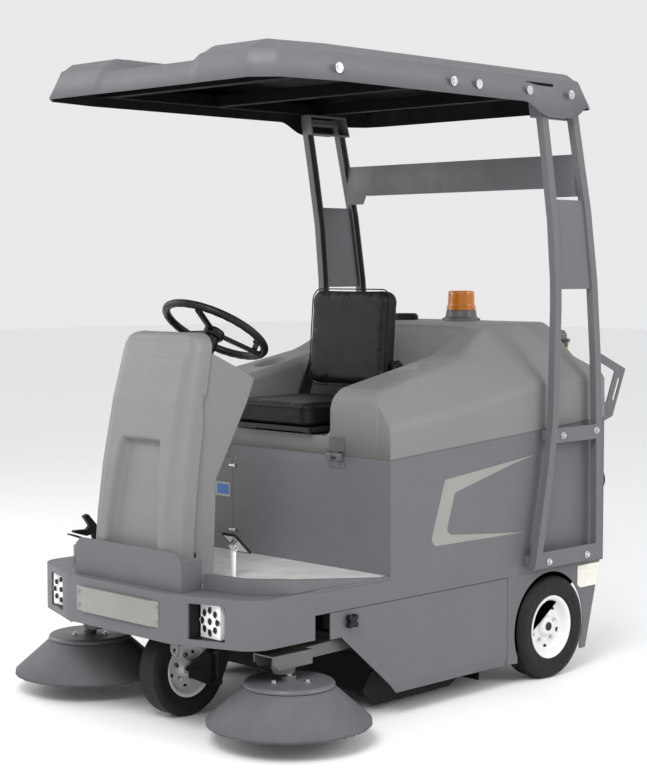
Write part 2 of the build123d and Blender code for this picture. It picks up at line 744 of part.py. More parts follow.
hatch_x0, hatch_x1 = -470.0, -213.0
hatch_z0, hatch_z1 = 505.0, 766.0
with BuildPart() as front_panel:
    with BuildSketch(across_plane(body_front + sheet)):
        with Locations((0, (deck_z + seam_front_z - seam_gap) / 2)):
            Rectangle(2 * (body_half - sheet), seam_front_z - seam_gap - deck_z)
        with Locations(((hatch_x0 + hatch_x1) / 2, (hatch_z0 + hatch_z1) / 2)):
            Rectangle(hatch_x1 - hatch_x0 + 2, hatch_z1 - hatch_z0 + 2, mode=Mode.SUBTRACT)
    extrude(amount=sheet)
    with BuildSketch(Plane.XY.offset(hatch_z0 + 20)):
        with Locations((hatch_x0 - 3.5, Y(body_front - 5))):
            Circle(2)
    extrude(amount=hatch_z1 - hatch_z0 - 40)
    for z0 in (hatch_z0 + 20, hatch_z1 - 30):
        with BuildSketch(Plane.XY.offset(z0)):
            with Locations((hatch_x0 - 5.5, Y(body_front - 3.5))):
                Rectangle(8, 7)
        extrude(amount=10)
    # fixed halves of the cover's hinges
    for side in (-1, 1):
        with BuildSketch(across_plane(body_front)):
            with Locations((side * hinge_x, 786)):
                Rectangle(68, 30)
        extrude(amount=3)
        for x0 in (side * hinge_x - 33, side * hinge_x + 13):
            with BuildSketch(side_plane(x0)):
                with BuildLine():
                    Polyline((Y(body_front - 3), 796), (Y(body_front - 3), 800), (Y(hinge_y + 6), hinge_z),
                             (Y(hinge_y - 6), hinge_z), (Y(hinge_y - 6), 797), close=True)
                make_face()
                with Locations((Y(hinge_y), hinge_z)):
                    Circle(6.5)
            extrude(amount=20)
        with BuildSketch(side_plane(side * hinge_x - 33)):
            with Locations((Y(hinge_y), hinge_z)):
                Circle(3.5)
        extrude(amount=66)
front_panel.part.label = "front_panel"
export_step(front_panel.part, "parts/front_panel.step")

with BuildPart() as access_hatch:
    with BuildSketch(across_plane(body_front + 3)):
        with Locations(((hatch_x0 + hatch_x1) / 2, (hatch_z0 + hatch_z1) / 2)):
            Rectangle(hatch_x1 - hatch_x0, hatch_z1 - hatch_z0)
    extrude(amount=3)
    for z0 in (hatch_z0 + 36, hatch_z1 - 76):
        with BuildSketch(Plane.XY.offset(z0)):
            with Locations((hatch_x0 - 3.5, Y(body_front - 5))):
                Circle(4.5)
            with Locations((hatch_x0 + 4, Y(body_front - 5))):
                Rectangle(15, 4)
            with Locations((hatch_x0 + 8, Y(body_front - 2))):
                Rectangle(7, 4)
            with Locations((hatch_x0 - 3.5, Y(body_front - 5))):
                Circle(2 + run_gap, mode=Mode.SUBTRACT)
        extrude(amount=40)
access_hatch.part.label = "access_hatch"
export_step(access_hatch.part, "parts/access_hatch.step")

with BuildPart() as hatch_catches:
    with BuildSketch(across_plane(body_front)):
        with Locations((hatch_x1 + 12, hatch_z0 + 16), (hatch_x1 + 12, hatch_z1 - 26)):
            Circle(6)
    extrude(amount=5)
    with BuildSketch(across_plane(body_front - 5)):
        with Locations((hatch_x1 + 2, hatch_z0 + 16), (hatch_x1 + 2, hatch_z1 - 26)):
            Rectangle(26, 7)
    extrude(amount=3)

with BuildPart() as rear_fittings:
    with BuildSketch(across_plane(body_rear)):
        with Locations((455, 655)):
            Circle(52)
    extrude(amount=-18)
    with BuildSketch(across_plane(body_rear + 18)):
        with Locations((455, 655)):
            Circle(40)
    extrude(amount=-10)
    with BuildSketch(across_plane(body_rear)):
        with Locations((478, 769)):
            Circle(9)
    extrude(amount=-22)

with BuildPart() as battery_pack:
    with BuildSketch(Plane.XY.offset(frame_top)):
        with Locations((0, Y(-570))):
            Rectangle(820, 400)
    extrude(amount=4)
    with BuildSketch(Plane.XY.offset(frame_top + 4)):
        with Locations((0, Y(-570))):
            with GridLocations(200, 196, 4, 2):
                Rectangle(190, 186)
    extrude(amount=240)
    with BuildSketch(Plane.XY.offset(frame_top + 244)):
        with Locations((0, Y(-570))):
            with GridLocations(200, 196, 4, 2):
                with GridLocations(130, 0, 2, 1):
                    Circle(9)
    extrude(amount=16)
battery_pack.part.label = "battery_pack"
export_step(battery_pack.part, "parts/battery_pack.step")

with BuildPart() as filter_box:
    with BuildSketch(Plane.XY.offset(frame_top)):
        with Locations((-60, Y(40))):
            Rectangle(720, 420)
    extrude(amount=150)
    with BuildSketch(Plane.XY.offset(frame_top - 1)):
        with Locations((-60, Y(40))):
            Rectangle(712, 412)
    extrude(amount=147, mode=Mode.SUBTRACT)
    # filter elements standing on the lid
    with BuildSketch(Plane.XY.offset(frame_top + 150)):
        with Locations((-60, Y(40))):
            with GridLocations(0, 38, 1, 10):
                Rectangle(680, 18)
    extrude(amount=24)
filter_box.part.label = "filter_box"
export_step(filter_box.part, "parts/filter_box.step")

with BuildPart() as suction_fan:
    with BuildSketch(across_plane(body_rear - sheet)):
        with Locations((395, 655)):
            Circle(95)
    extrude(amount=90)
    with BuildSketch(across_plane(body_rear - sheet - 90)):
        with Locations((395, 655)):
            Circle(60)
    extrude(amount=110)
    with BuildSketch(Plane.XY.offset(frame_top)):
        with Locations((395, Y(body_rear - sheet - 45))):
            Rectangle(70, 70)
    extrude(amount=160)
    add(rear_fittings.part)
suction_fan.part.label = "suction_fan"
export_step(suction_fan.part, "parts/suction_fan.step")

# ================================================================ dust bin and its runners
with BuildPart() as dust_bin:
    with BuildSketch(Plane.XY.offset(bin_bottom)):
        with Locations((0, Y((bin_rear - 225) / 2))):
            Rectangle(2 * bin_half, bin_rear + 225)
    extrude(amount=bin_top - bin_bottom)
    with BuildSketch(Plane.XY.offset(bin_top - 3.4)):
        with Locations((0, Y((bin_rear - 225) / 2))):
            Rectangle(2 * bin_half + 16, bin_rear + 225)
    extrude(amount=3.4)
    with BuildSketch(Plane.XY.offset(bin_bottom + 4)):
        with Locations((0, Y((bin_rear - 225) / 2))):
            Rectangle(2 * bin_half - 8, bin_rear + 225 - 8)
    extrude(amount=bin_top, mode=Mode.SUBTRACT)
    # mouth towards the brush
    with BuildSketch(across_plane(-215)):
        with Locations((0, bin_top)):
            Rectangle(2 * bin_half - 40, 2 * (bin_top - bin_bottom - 20))
    extrude(amount=20, mode=Mode.SUBTRACT)
    with BuildSketch(across_plane(bin_rear)):
        with Locations((-110, bin_bottom + 62), (110, bin_bottom + 62)):
            Rectangle(14, 30)
    extrude(amount=-40)
    with BuildSketch(across_plane(bin_rear + 26)):
        with Locations((0, bin_bottom + 62)):
            Rectangle(234, 30)
    extrude(amount=-14)
dust_bin.part.label = "dust_bin"
export_step(dust_bin.part, "parts/dust_bin.step")

# ================================================================ bumper, platform and guard
nose_half = 245.0             # half width of the bumper's flat front
nose_y = -1470.0
corner_y = -1373.0            # where the angled face would meet the side
nose_slope = (corner_y - nose_y) / (body_half - nose_half)
bumper_t = 6.0


def nose_inside(x):
    """Inner surface of the bumper's angled face at x, from the rear axle."""
    return nose_y + bumper_t + (x - nose_half + 1) * nose_slope


with BuildPart() as front_bumper:
    with BuildSketch(Plane.XY.offset(bumper_bottom)) as bumper_s:
        with BuildLine():
            Polyline((-body_half, Y(bumper_rear)), (-body_half, Y(corner_y)), (-nose_half, Y(nose_y)),
                     (nose_half, Y(nose_y)), (body_half, Y(corner_y)), (body_half, Y(bumper_rear)), close=True)
        make_face()
        fillet([v for v in bumper_s.vertices() if abs(v.Y - Y(corner_y)) < 1], 90)
    extrude(amount=deck_z - bumper_bottom)
    with BuildSketch(Plane.XY.offset(bumper_bottom - 1)) as bumper_i:
        with BuildLine():
            Polyline((-body_half + bumper_t, Y(bumper_rear + 2)), (-body_half + bumper_t, Y(nose_inside(body_half - bumper_t))),
                     (-nose_half + 1, Y(nose_y + bumper_t)), (nose_half - 1, Y(nose_y + bumper_t)),
                     (body_half - bumper_t, Y(nose_inside(body_half - bumper_t))),
                     (body_half - bumper_t, Y(bumper_rear + 2)), close=True)
        make_face()
        fillet([v for v in bumper_i.vertices() if v.Y > Y(nose_y + 50) and v.Y < Y(-1300)], 84)
    extrude(amount=frame_top - bumper_bottom + 1, mode=Mode.SUBTRACT)
    # headlight openings
    with BuildSketch(across_plane(-1300)):
        with Locations((360, 373), (-360, 373)):
            Rectangle(116, 106)
    extrude(amount=200, mode=Mode.SUBTRACT)
    # towing eye behind the front sheet
    with BuildSketch(across_plane(-1455)):
        with BuildLine():
            Polyline((238, 332), (272, 332), (272, 276), (262, 262), (248, 262), (238, 276), close=True)
        make_face()
        with Locations((255, 280)):
            Circle(8, mode=Mode.SUBTRACT)
    extrude(amount=6)
front_bumper.part.label = "front_bumper"
export_step(front_bumper.part, "parts/front_bumper.step")

lamp_x, lamp_z = 360.0, 373.0
with BuildPart() as headlights:
    with BuildSketch(Plane.XY.offset(lamp_z - 57)):
        with BuildLine():
            Polyline((lamp_x - 62, Y(-1318)), (lamp_x + 62, Y(-1318)), (lamp_x + 62, Y(nose_inside(lamp_x + 62))),
                     (lamp_x - 62, Y(nose_inside(lamp_x - 62))), close=True)
        make_face()
    extrude(amount=114)
    with BuildSketch(across_plane(-1330)):
        with Locations((lamp_x, lamp_z)):
            Rectangle(112, 104)
    extrude(amount=120, mode=Mode.SUBTRACT)
    with BuildSketch(Plane.XY.offset(lamp_z + 57)):
        with Locations((lamp_x, Y(-1330))):
            Rectangle(40, 24)
    extrude(amount=frame_top - lamp_z - 57)
    mirror(about=Plane.YZ)
headlights.part.label = "headlights"
export_step(headlights.part, "parts/headlights.step")

with BuildPart() as lamp_plates:
    for side in (-1, 1):
        with BuildSketch(across_plane(-1330)):
            with Locations((side * lamp_x - 8, lamp_z)):
                Rectangle(86, 102)
        extrude(amount=75)
        with BuildSketch(across_plane(-1405)):
            with Locations((side * lamp_x - 8, lamp_z)):
                Circle(10)
            with Locations((side * lamp_x - 8, lamp_z)):
                with PolarLocations(33, 8):
                    Circle(10)
        extrude(amount=-8, mode=Mode.SUBTRACT)
lamp_plates.part.label = "lamp_plates"
export_step(lamp_plates.part, "parts/lamp_plates.step")

with BuildPart() as bumper_cover_plate:
    with BuildSketch(Plane.XY.offset(342)):
        with BuildLine():
            Polyline((-197, Y(-1470)), (-197, Y(-1473)), (-176, Y(-1473)), (-160, Y(-1480)), (160, Y(-1480)),
                     (176, Y(-1473)), (197, Y(-1473)), (197, Y(-1470)), close=True)
        make_face()
    extrude(amount=77)
    with BuildSketch(across_plane(-1473)):
        with Locations((-187, 358), (-187, 402), (187, 358), (187, 402)):
            Circle(5)
    extrude(amount=3)
bumper_cover_plate.part.label = "bumper_cover_plate"
export_step(bumper_cover_plate.part, "parts/bumper_cover_plate.step")

tread_t = 3.0
pedal_x, pedal_y, pedal_z = 168.0, -1146.0, 540.0
with BuildPart() as floor_tread:
    with BuildSketch(Plane.XY.offset(deck_z)):
        with BuildLine():
            Polyline((-498, Y(body_front)), (-488, Y(-1200)), (-455, Y(-1260)), (-390, Y(-1305)), (-252, Y(-1322)),
                     (252, Y(-1322)), (390, Y(-1305)), (455, Y(-1260)), (488, Y(-1200)), (498, Y(body_front)),
                     close=True)
        make_face()
        with Locations((0, Y(-1338))):
            Rectangle(504, 112, mode=Mode.SUBTRACT)
    extrude(amount=tread_t)
    # post of the accelerator pedal
    with BuildSketch(Plane.XY.offset(deck_z + tread_t)):
        with Locations((pedal_x, Y(pedal_y))):
            Circle(8)
    extrude(amount=pedal_z - 12 - deck_z - tread_t)
    with BuildSketch(side_plane(pedal_x - 6)):
        with Locations((Y(pedal_y), pedal_z - 8)):
            Rectangle(12, 22)
        with Locations((Y(pedal_y), pedal_z)):
            Circle(8)
        with Locations((Y(pedal_y), pedal_z)):
            Circle(4 + run_gap, mode=Mode.SUBTRACT)
    extrude(amount=12)
floor_tread.part.label = "floor_tread"
export_step(floor_tread.part, "parts/floor_tread.step")

with BuildPart() as riser:
    with BuildSketch(Plane.XY.offset(deck_z)):
        with BuildLine():
            Polyline((253, Y(-1346)), (395, Y(-1330)), (470, Y(-1280)), (505, Y(-1210)), (510, Y(body_front - 2)),
                     (498, Y(body_front - 2)), (488, Y(-1200)), (455, Y(-1260)), (390, Y(-1305)), (253, Y(-1322)),
                     close=True)
        make_face()
    extrude(amount=46)
    mirror(about=Plane.YZ)
    with BuildSketch(side_plane(-600)):
        with BuildLine():
            Polyline((Y(-1240), deck_z + 46), (Y(-840), deck_z + 4), (Y(-780), deck_z + 4), (Y(-780), deck_z + 60),
                     (Y(-1240), deck_z + 60), close=True)
        make_face()
    extrude(amount=1200, mode=Mode.SUBTRACT)

guard_half = 254.0
with BuildPart() as console_guard:
    with BuildSketch(across_plane(-1350)):
        with BuildLine():
            Polyline((-guard_half, deck_z), (guard_half, deck_z), (guard_half, 541), (guard_half - 26, 562),
                     (-guard_half + 26, 562), (-guard_half, 541), close=True)
        make_face()
    extrude(amount=83)
    with BuildSketch(across_plane(-1349)):
        with Locations((0, 520)):
            Rectangle(2 * guard_half - 8, 160)
    extrude(amount=79, mode=Mode.SUBTRACT)

with BuildPart() as platform:
    with BuildSketch(Plane.XY.offset(frame_top)):
        with Locations((0, Y((bumper_rear + body_front) / 2))):
            Rectangle(2 * body_half - 1, body_front - bumper_rear)
    extrude(amount=deck_z - frame_top)
    add(riser.part)
    add(console_guard.part)
platform.part.label = "platform"
export_step(platform.part, "parts/platform.step")

# ================================================================ console
with BuildPart() as console_front:
    with BuildSketch(Plane.XY.offset(deck_z)) as c0:
        with Locations((0, Y(-1386))):
            Rectangle(2 * 248, 82)
        fillet(c0.vertices().group_by(Axis.Y)[0], 34)
    with BuildSketch(Plane.XY.offset(798)) as c1:
        with Locations((0, Y(-1352))):
            Rectangle(2 * 243, 84)
        fillet(c1.vertices().group_by(Axis.Y)[0], 34)
    with BuildSketch(Plane.XY.offset(1172)) as c2:
        with Locations((0, Y(-1275))):
            Rectangle(2 * 214, 62)
        fillet(c2.vertices().group_by(Axis.Y)[0], 28)
    with BuildSketch(Plane.XY.offset(1207)) as c3:
        with Locations((0, Y(-1262))):
            Rectangle(2 * 186, 40)
        fillet(c3.vertices().group_by(Axis.Y)[0], 18)
    loft(ruled=True)
    with BuildSketch(Plane.XY.offset(deck_z - 1)):
        with Locations((0, Y(-1378))):
            Rectangle(2 * 238, 78)
    with BuildSketch(Plane.XY.offset(798)):
        with Locations((0, Y(-1346))):
            Rectangle(2 * 233, 76)
    with BuildSketch(Plane.XY.offset(1172)):
        with Locations((0, Y(-1271))):
            Rectangle(2 * 206, 56)
    with BuildSketch(Plane.XY.offset(1190)):
        with Locations((0, Y(-1262))):
            Rectangle(2 * 188, 46)
    loft(ruled=True, mode=Mode.SUBTRACT)
console_front.part.label = "console_front"
export_step(console_front.part, "parts/console_front.step")

t_s, t_c = sin(radians(wheel_tilt)), cos(radians(wheel_tilt))
column_plane = Plane(origin=(0, Y(wheel_y), wheel_z), x_dir=(1, 0, 0), z_dir=(0, t_s, t_c))
console_half = 232.0
with BuildPart() as console_rear:
    with BuildSketch(side_plane(-console_half)):
        with BuildLine():
            Polyline((Y(-1285), deck_z), (Y(-1272), 770), (Y(-1216), 868), (Y(-1142), 1001),
                     (Y(-1112), 1070), (Y(-1146), 1092), (Y(-1248.2), 1148), (Y(-1310), 798), (Y(-1345), deck_z),
                     close=True)
        make_face()
    extrude(amount=2 * console_half)
    with BuildSketch(side_plane(-console_half + 5)):
        with BuildLine():
            Polyline((Y(-1400), deck_z - 1), (Y(-1290), deck_z - 1), (Y(-1277), 772), (Y(-1221), 871),
                     (Y(-1148), 1003), (Y(-1120), 1068), (Y(-1149), 1087), (Y(-1250), 1141), (Y(-1330), 1141),
                     close=True)
        make_face()
    extrude(amount=2 * console_half - 10, mode=Mode.SUBTRACT)
    with BuildSketch(column_plane):
        Circle(27)
    extrude(amount=-200, mode=Mode.SUBTRACT)
console_rear.part.label = "console_rear"
export_step(console_rear.part, "parts/console_rear.step")

with BuildPart() as steering_column:
    with BuildSketch(column_plane.offset(-28)):
        Circle(25)
    extrude(amount=-280)
    with BuildSketch(column_plane.offset(-262)):
        Rectangle(2 * console_half - 10, 56)
    extrude(amount=-6)
    with BuildSketch(column_plane.offset(-28)):
        Circle(10)
    extrude(amount=20)
steering_column.part.label = "steering_column"
export_step(steering_column.part, "parts/steering_column.step")

knob_angle = 55.0             # one spoke, with the knob on it
knob_at = (138 * cos(radians(knob_angle)), 138 * sin(radians(knob_angle)))
with BuildPart() as steering_wheel:
    with BuildSketch(Plane(origin=column_plane.origin, x_dir=(1, 0, 0), z_dir=column_plane.y_dir * -1)):
        with Locations((wheel_r - grip_r, 0)):
            Circle(grip_r)
    revolve(axis=Axis(column_plane.origin, column_plane.z_dir))
    with BuildSketch(column_plane.offset(-27)):
        Circle(34)
    extrude(amount=30)
    with BuildSketch(column_plane.offset(-18)):
        with PolarLocations((wheel_r - grip_r) / 2 + 8, 3, start_angle=knob_angle):
            Rectangle(wheel_r - grip_r - 24, 22)
    extrude(amount=14)
    with BuildSketch(column_plane.offset(-28)):
        Circle(10 + run_gap)
    extrude(amount=20 + run_gap, mode=Mode.SUBTRACT)
    with BuildSketch(column_plane.offset(-6)):
        with Locations(knob_at):
            Circle(4)
    extrude(amount=40)
steering_wheel.part.label = "steering_wheel"
export_step(steering_wheel.part, "parts/steering_wheel.step")

with BuildPart() as spinner_knob:
    with BuildSketch(column_plane.offset(-3.7)):
        with Locations(knob_at):
            Circle(9)
            Circle(4 + run_gap, mode=Mode.SUBTRACT)
    extrude(amount=20)
    with BuildSketch(column_plane.offset(16.3)):
        with Locations(knob_at):
            Circle(14)
            Circle(4 + run_gap, mode=Mode.SUBTRACT)
    extrude(amount=17)
spinner_knob.part.label = "spinner_knob"
export_step(spinner_knob.part, "parts/spinner_knob.step")

# ================================================================ pedal and tool clamp
pedal_plane = Plane(origin=(pedal_x, Y(pedal_y + 11), pedal_z + 11), x_dir=(1, 0, 0), z_dir=(0, sin(radians(44)), cos(radians(44))))
with BuildPart() as accelerator_pedal:
    with BuildSketch(pedal_plane) as pedal_s:
        Rectangle(66, 96)
        fillet(pedal_s.vertices(), 8)
    extrude(amount=8)
    for x0 in (pedal_x - 12, pedal_x + 7):
        with BuildSketch(side_plane(x0)):
            with BuildLine():
                Polyline((Y(pedal_y - 8), pedal_z - 5), (Y(pedal_y + 3), pedal_z - 8), (Y(pedal_y + 22), pedal_z + 2),
                         (Y(pedal_y + 2), pedal_z + 22), close=True)
            make_face()
        extrude(amount=5)
    with BuildSketch(side_plane(pedal_x - 12)):
        with Locations((Y(pedal_y), pedal_z)):
            Circle(4)
    extrude(amount=24)
accelerator_pedal.part.label = "accelerator_pedal"
export_step(accelerator_pedal.part, "parts/accelerator_pedal.step")

clip_x = -345.0
with BuildPart() as tool_clamp:
    with BuildSketch(side_plane(clip_x - 25)):
        with BuildLine():
            Polyline((Y(-1296), deck_z + tread_t), (Y(-1246), deck_z + tread_t), (Y(-1246), 500), (Y(-1296), 517),
                     close=True)
        make_face()
    extrude(amount=50)
    with BuildSketch(side_plane(clip_x - 20)):
        with BuildLine():
            Polyline((Y(-1384), 549), (Y(-1296), 517), (Y(-1246), 500), (Y(-1246), 505), (Y(-1296), 522),
                     (Y(-1384), 554), close=True)
        make_face()
    extrude(amount=40)
    with BuildSketch(side_plane(clip_x - 8)):
        with BuildLine():
            Polyline((Y(-1290), 510), (Y(-1250), 497), (Y(-1250), 566), (Y(-1284), 574), (Y(-1319), 612),
                     (Y(-1336), 606), (Y(-1312), 572), (Y(-1324), 562), (Y(-1374), 564), (Y(-1376), 557),
                     (Y(-1324), 541), (Y(-1300), 545), close=True)
        make_face()
        with Locations((Y(-1266), 552)):
            Circle(5 + run_gap, mode=Mode.SUBTRACT)
    extrude(amount=16)
tool_clamp.part.label = "tool_clamp"
export_step(tool_clamp.part, "parts/tool_clamp.step")

with BuildPart() as clamp_lever:
    with BuildSketch(side_plane(clip_x - 8)):
        with Locations((Y(-1266), 552)):
            Circle(5)
    extrude(amount=30)
    with BuildSketch(side_plane(clip_x + 10)):
        with Locations((Y(-1266), 552)):
            Circle(12)
        with Locations((Y(-1236), 570)):
            Rectangle(86, 14, rotation=12)
    extrude(amount=8)
clamp_lever.part.label = "clamp_lever"
export_step(clamp_lever.part, "parts/clamp_lever.step")

# ================================================================ posts, cross beam, canopy
front_edge = [(-150, 395), (-144, 410), (-85, 694), (-55, 888), (-50, 1102), (-45, 1271), (-47, 1363), (-66, 1561),
              (-102, 1764), (-143, 1972)]
rear_edge = [(48, 1972), (70, 1911), (147, 1600), (187, 1362), (212, 1101), (224, 812), (228, 395)]
with BuildPart() as side_posts:
    # two channel legs, open on the inner side
    with BuildSketch(side_plane(post_in)):
        with BuildLine():
            Polyline([(Y(a), b) for a, b in front_edge + rear_edge], close=True)
        make_face()
        offset(amount=-post_face, kind=Kind.INTERSECTION, mode=Mode.SUBTRACT)
    extrude(amount=post_out - post_in)
    with BuildSketch(side_plane(post_in)):
        with BuildLine():
            Polyline([(Y(a), b) for a, b in front_edge + rear_edge], close=True)
        make_face()
        offset(amount=-4, kind=Kind.INTERSECTION, mode=Mode.REPLACE)
        offset(amount=8 - post_face, kind=Kind.INTERSECTION, mode=Mode.SUBTRACT)
    extrude(amount=post_out - post_in - 4, mode=Mode.SUBTRACT)
    # plates between the legs: the tall one sits a little behind the leg faces
    for x0, z0, z1 in ((post_out - 5, 395, 449), (post_out - 5, 814, 864), (post_out - 13, 1332, 1632),
                       (post_out - 5, 1935, 1972)):
        with BuildSketch(side_plane(x0)):
            with BuildLine():
                Polyline([(Y(a), b) for a, b in front_edge + rear_edge], close=True)
            make_face()
            offset(amount=2 - post_face, kind=Kind.INTERSECTION, mode=Mode.REPLACE)
            with Locations((Y(40), (z0 + z1) / 2)):
                Rectangle(500, z1 - z0, mode=Mode.INTERSECT)
        extrude(amount=5)
    # spacer bars carry the posts on the body side, a spacer ring on the canopy frame
    for y0, z0, w, h in ((86, 840, 272, 36), (43.5, 418, 361, 40)):
        with BuildSketch(side_plane(body_half)):
            with Locations((Y(y0), z0)):
                Rectangle(w, h)
        extrude(amount=post_in - body_half)
    with BuildSketch(side_plane(body_half)):
        with BuildLine():
            Polyline([(Y(a), b) for a, b in front_edge + rear_edge], close=True)
        make_face()
        with Locations((Y(-30), 1936)):
            Rectangle(300, 72, mode=Mode.INTERSECT)
        offset(amount=-6, kind=Kind.INTERSECTION, mode=Mode.SUBTRACT)
    extrude(amount=post_in - body_half)
    mirror(about=Plane.YZ)

with BuildPart() as post_bolts:
    bolt_at = [(Y(0), 838), (Y(188), 843), (Y(-72), 415), (Y(141), 415)]
    with BuildSketch(side_plane(post_out)):
        with Locations(*bolt_at):
            Circle(12)
    extrude(amount=3)
    with BuildSketch(side_plane(post_out + 3)):
        with Locations(*bolt_at):
            RegularPolygon(9, 6)
    extrude(amount=7)
    mirror(about=Plane.YZ)

beam_y = 84.0
with BuildPart() as cross_beam:
    with BuildSketch(across_plane(beam_y)):
        with BuildLine():
            Polyline((-post_in, 1788), (post_in, 1788), (post_in, 1645), (455, 1645), (440, 1677),
                     (-440, 1677), (-455, 1645), (-post_in, 1645), close=True)
        make_face()
    extrude(amount=-4)
    with BuildSketch(across_plane(beam_y)):
        with Locations((0, 1786), (0, 1679)):
            Rectangle(870, 4)
    extrude(amount=-24)
    for x0 in (post_in - 4, -post_in):
        with BuildSketch(side_plane(x0)):
            with Locations((Y(beam_y + 16), 1716)):
                Rectangle(32, 140)
        extrude(amount=4)

with BuildPart() as post_frames:
    add(side_posts.part)
    add(cross_beam.part)
post_frames.part.label = "post_frames"
export_step(post_frames.part, "parts/post_frames.step")

roof_outline = [(0, roof_front), (470, roof_front), (540, -1300), (roof_half, -1100), (roof_half, 110), (530, 180),
                (440, roof_rear), (0, roof_rear)]
with BuildPart() as canopy:
    with BuildSketch(Plane.XY.offset(roof_bottom)):
        with BuildLine():
            Polyline([(a, Y(b)) for a, b in roof_outline], close=True)
        make_face()
        mirror(about=Plane.YZ)
    extrude(amount=roof_crease - roof_bottom)
    with BuildSketch(Plane.XY.offset(roof_crease)):
        with BuildLine():
            Polyline([(a, Y(b)) for a, b in roof_outline], close=True)
        make_face()
        mirror(about=Plane.YZ)
    with BuildSketch(Plane.XY.offset(roof_top)):
        with BuildLine():
            Polyline((0, Y(-1260)), (420, Y(-1260)), (480, Y(-1220)), (500, Y(-1060)), (500, Y(60)), (460, Y(110)),
                     (400, Y(130)), (0, Y(130)), close=True)
        make_face()
        mirror(about=Plane.YZ)
    loft(ruled=True)
    # hollow underside
    with BuildSketch(Plane.XY.offset(roof_bottom - 1)):
        with BuildLine():
            Polyline((0, Y(roof_front + 12)), (462, Y(roof_front + 12)), (530, Y(-1292)),
                     (roof_half - roof_wall, Y(-1098)), (roof_half - roof_wall, Y(106)), (524, Y(170)),
                     (436, Y(roof_rear - 10)), (0, Y(roof_rear - 10)), close=True)
        make_face()
        mirror(about=Plane.YZ)
    extrude(amount=roof_ceiling - roof_bottom + 1, mode=Mode.SUBTRACT)
    # the shell is thin: pockets under the shoulders and the middle
    with BuildSketch(Plane.XY.offset(roof_ceiling - 1)):
        with Locations((352, Y(-570)), (-352, Y(-570))):
            Rectangle(230, 1300)
        with Locations((0, Y(-320))):
            Rectangle(440, 800)
    extrude(amount=roof_top - roof_ceiling - 10, mode=Mode.SUBTRACT)
    # lower valley between the shoulders, at the front
    with BuildSketch(across_plane(-760)):
        with BuildLine():
            Polyline((-150, 2030), (150, 2030), (215, roof_top + 1), (-215, roof_top + 1), close=True)
        make_face()
    extrude(amount=650, mode=Mode.SUBTRACT)
    # side lobes over the posts
    for x0 in (roof_half - roof_wall, -roof_half):
        with BuildSketch(side_plane(x0)):
            with BuildLine():
                Polyline((Y(-225), roof_bottom), (Y(-150), 1922), (Y(-30), 1903), (Y(40), 1905), (Y(104), roof_bottom),
                         close=True)
            make_face()
        extrude(amount=roof_wall)
    with BuildSketch(side_plane(-600)):
        with Locations(*[(Y(a), 1980) for a in (-1100, -592, -470, -215, 8)]):
            Circle(4.1)
    extrude(amount=1200, mode=Mode.SUBTRACT)
canopy.part.label = "canopy"
export_step(canopy.part, "parts/canopy.step")

with BuildPart() as canopy_frame:
    with BuildSketch(Plane.XY.offset(1972)):
        with Locations((535, Y(-575)), (-535, Y(-575))):
            Rectangle(frame_tube, 1030)
        with Locations((0, Y(-1060)), (0, Y(-580)), (0, Y(-80))):
            Rectangle(1070, frame_tube)
    extrude(amount=frame_tube)
    with BuildSketch(Plane.XY.offset(1976)):
        with Locations((535, Y(-575)), (-535, Y(-575))):
            Rectangle(frame_tube - 8, 1022)
        with Locations((0, Y(-1060)), (0, Y(-580)), (0, Y(-80))):
            Rectangle(1070, frame_tube - 8)
    extrude(amount=frame_tube, mode=Mode.SUBTRACT)
canopy_frame.part.label = "canopy_frame"
export_step(canopy_frame.part, "parts/canopy_frame.step")

with BuildPart() as canopy_bolts:
    with BuildSketch(side_plane(roof_half)):
        with Locations(*[(Y(a), 1980) for a in (-1100, -592, -470, -215, 8)]):
            Circle(15)
    extrude(amount=3)
    with BuildSketch(side_plane(roof_half + 3)):
        with Locations(*[(Y(a), 1980) for a in (-1100, -592, 8)]):
            RegularPolygon(11, 6)
    extrude(amount=5)
    with BuildSketch(side_plane(roof_half - 23)):
        with Locations(*[(Y(a), 1980) for a in (-592, -470, -215)]):
            Circle(4)
    extrude(amount=23)
    with BuildSketch(side_plane(roof_half - 15.5)):
        with Locations((Y(8), 1980), (Y(-1100), 1980)):
            Circle(4)
    extrude(amount=15.5)
    mirror(about=Plane.YZ)

with BuildPart() as fasteners:
    add(canopy_bolts.part)
    add(post_bolts.part)
    add(hatch_catches.part)
fasteners.part.label = "fasteners"
export_step(fasteners.part, "parts/fasteners.step")

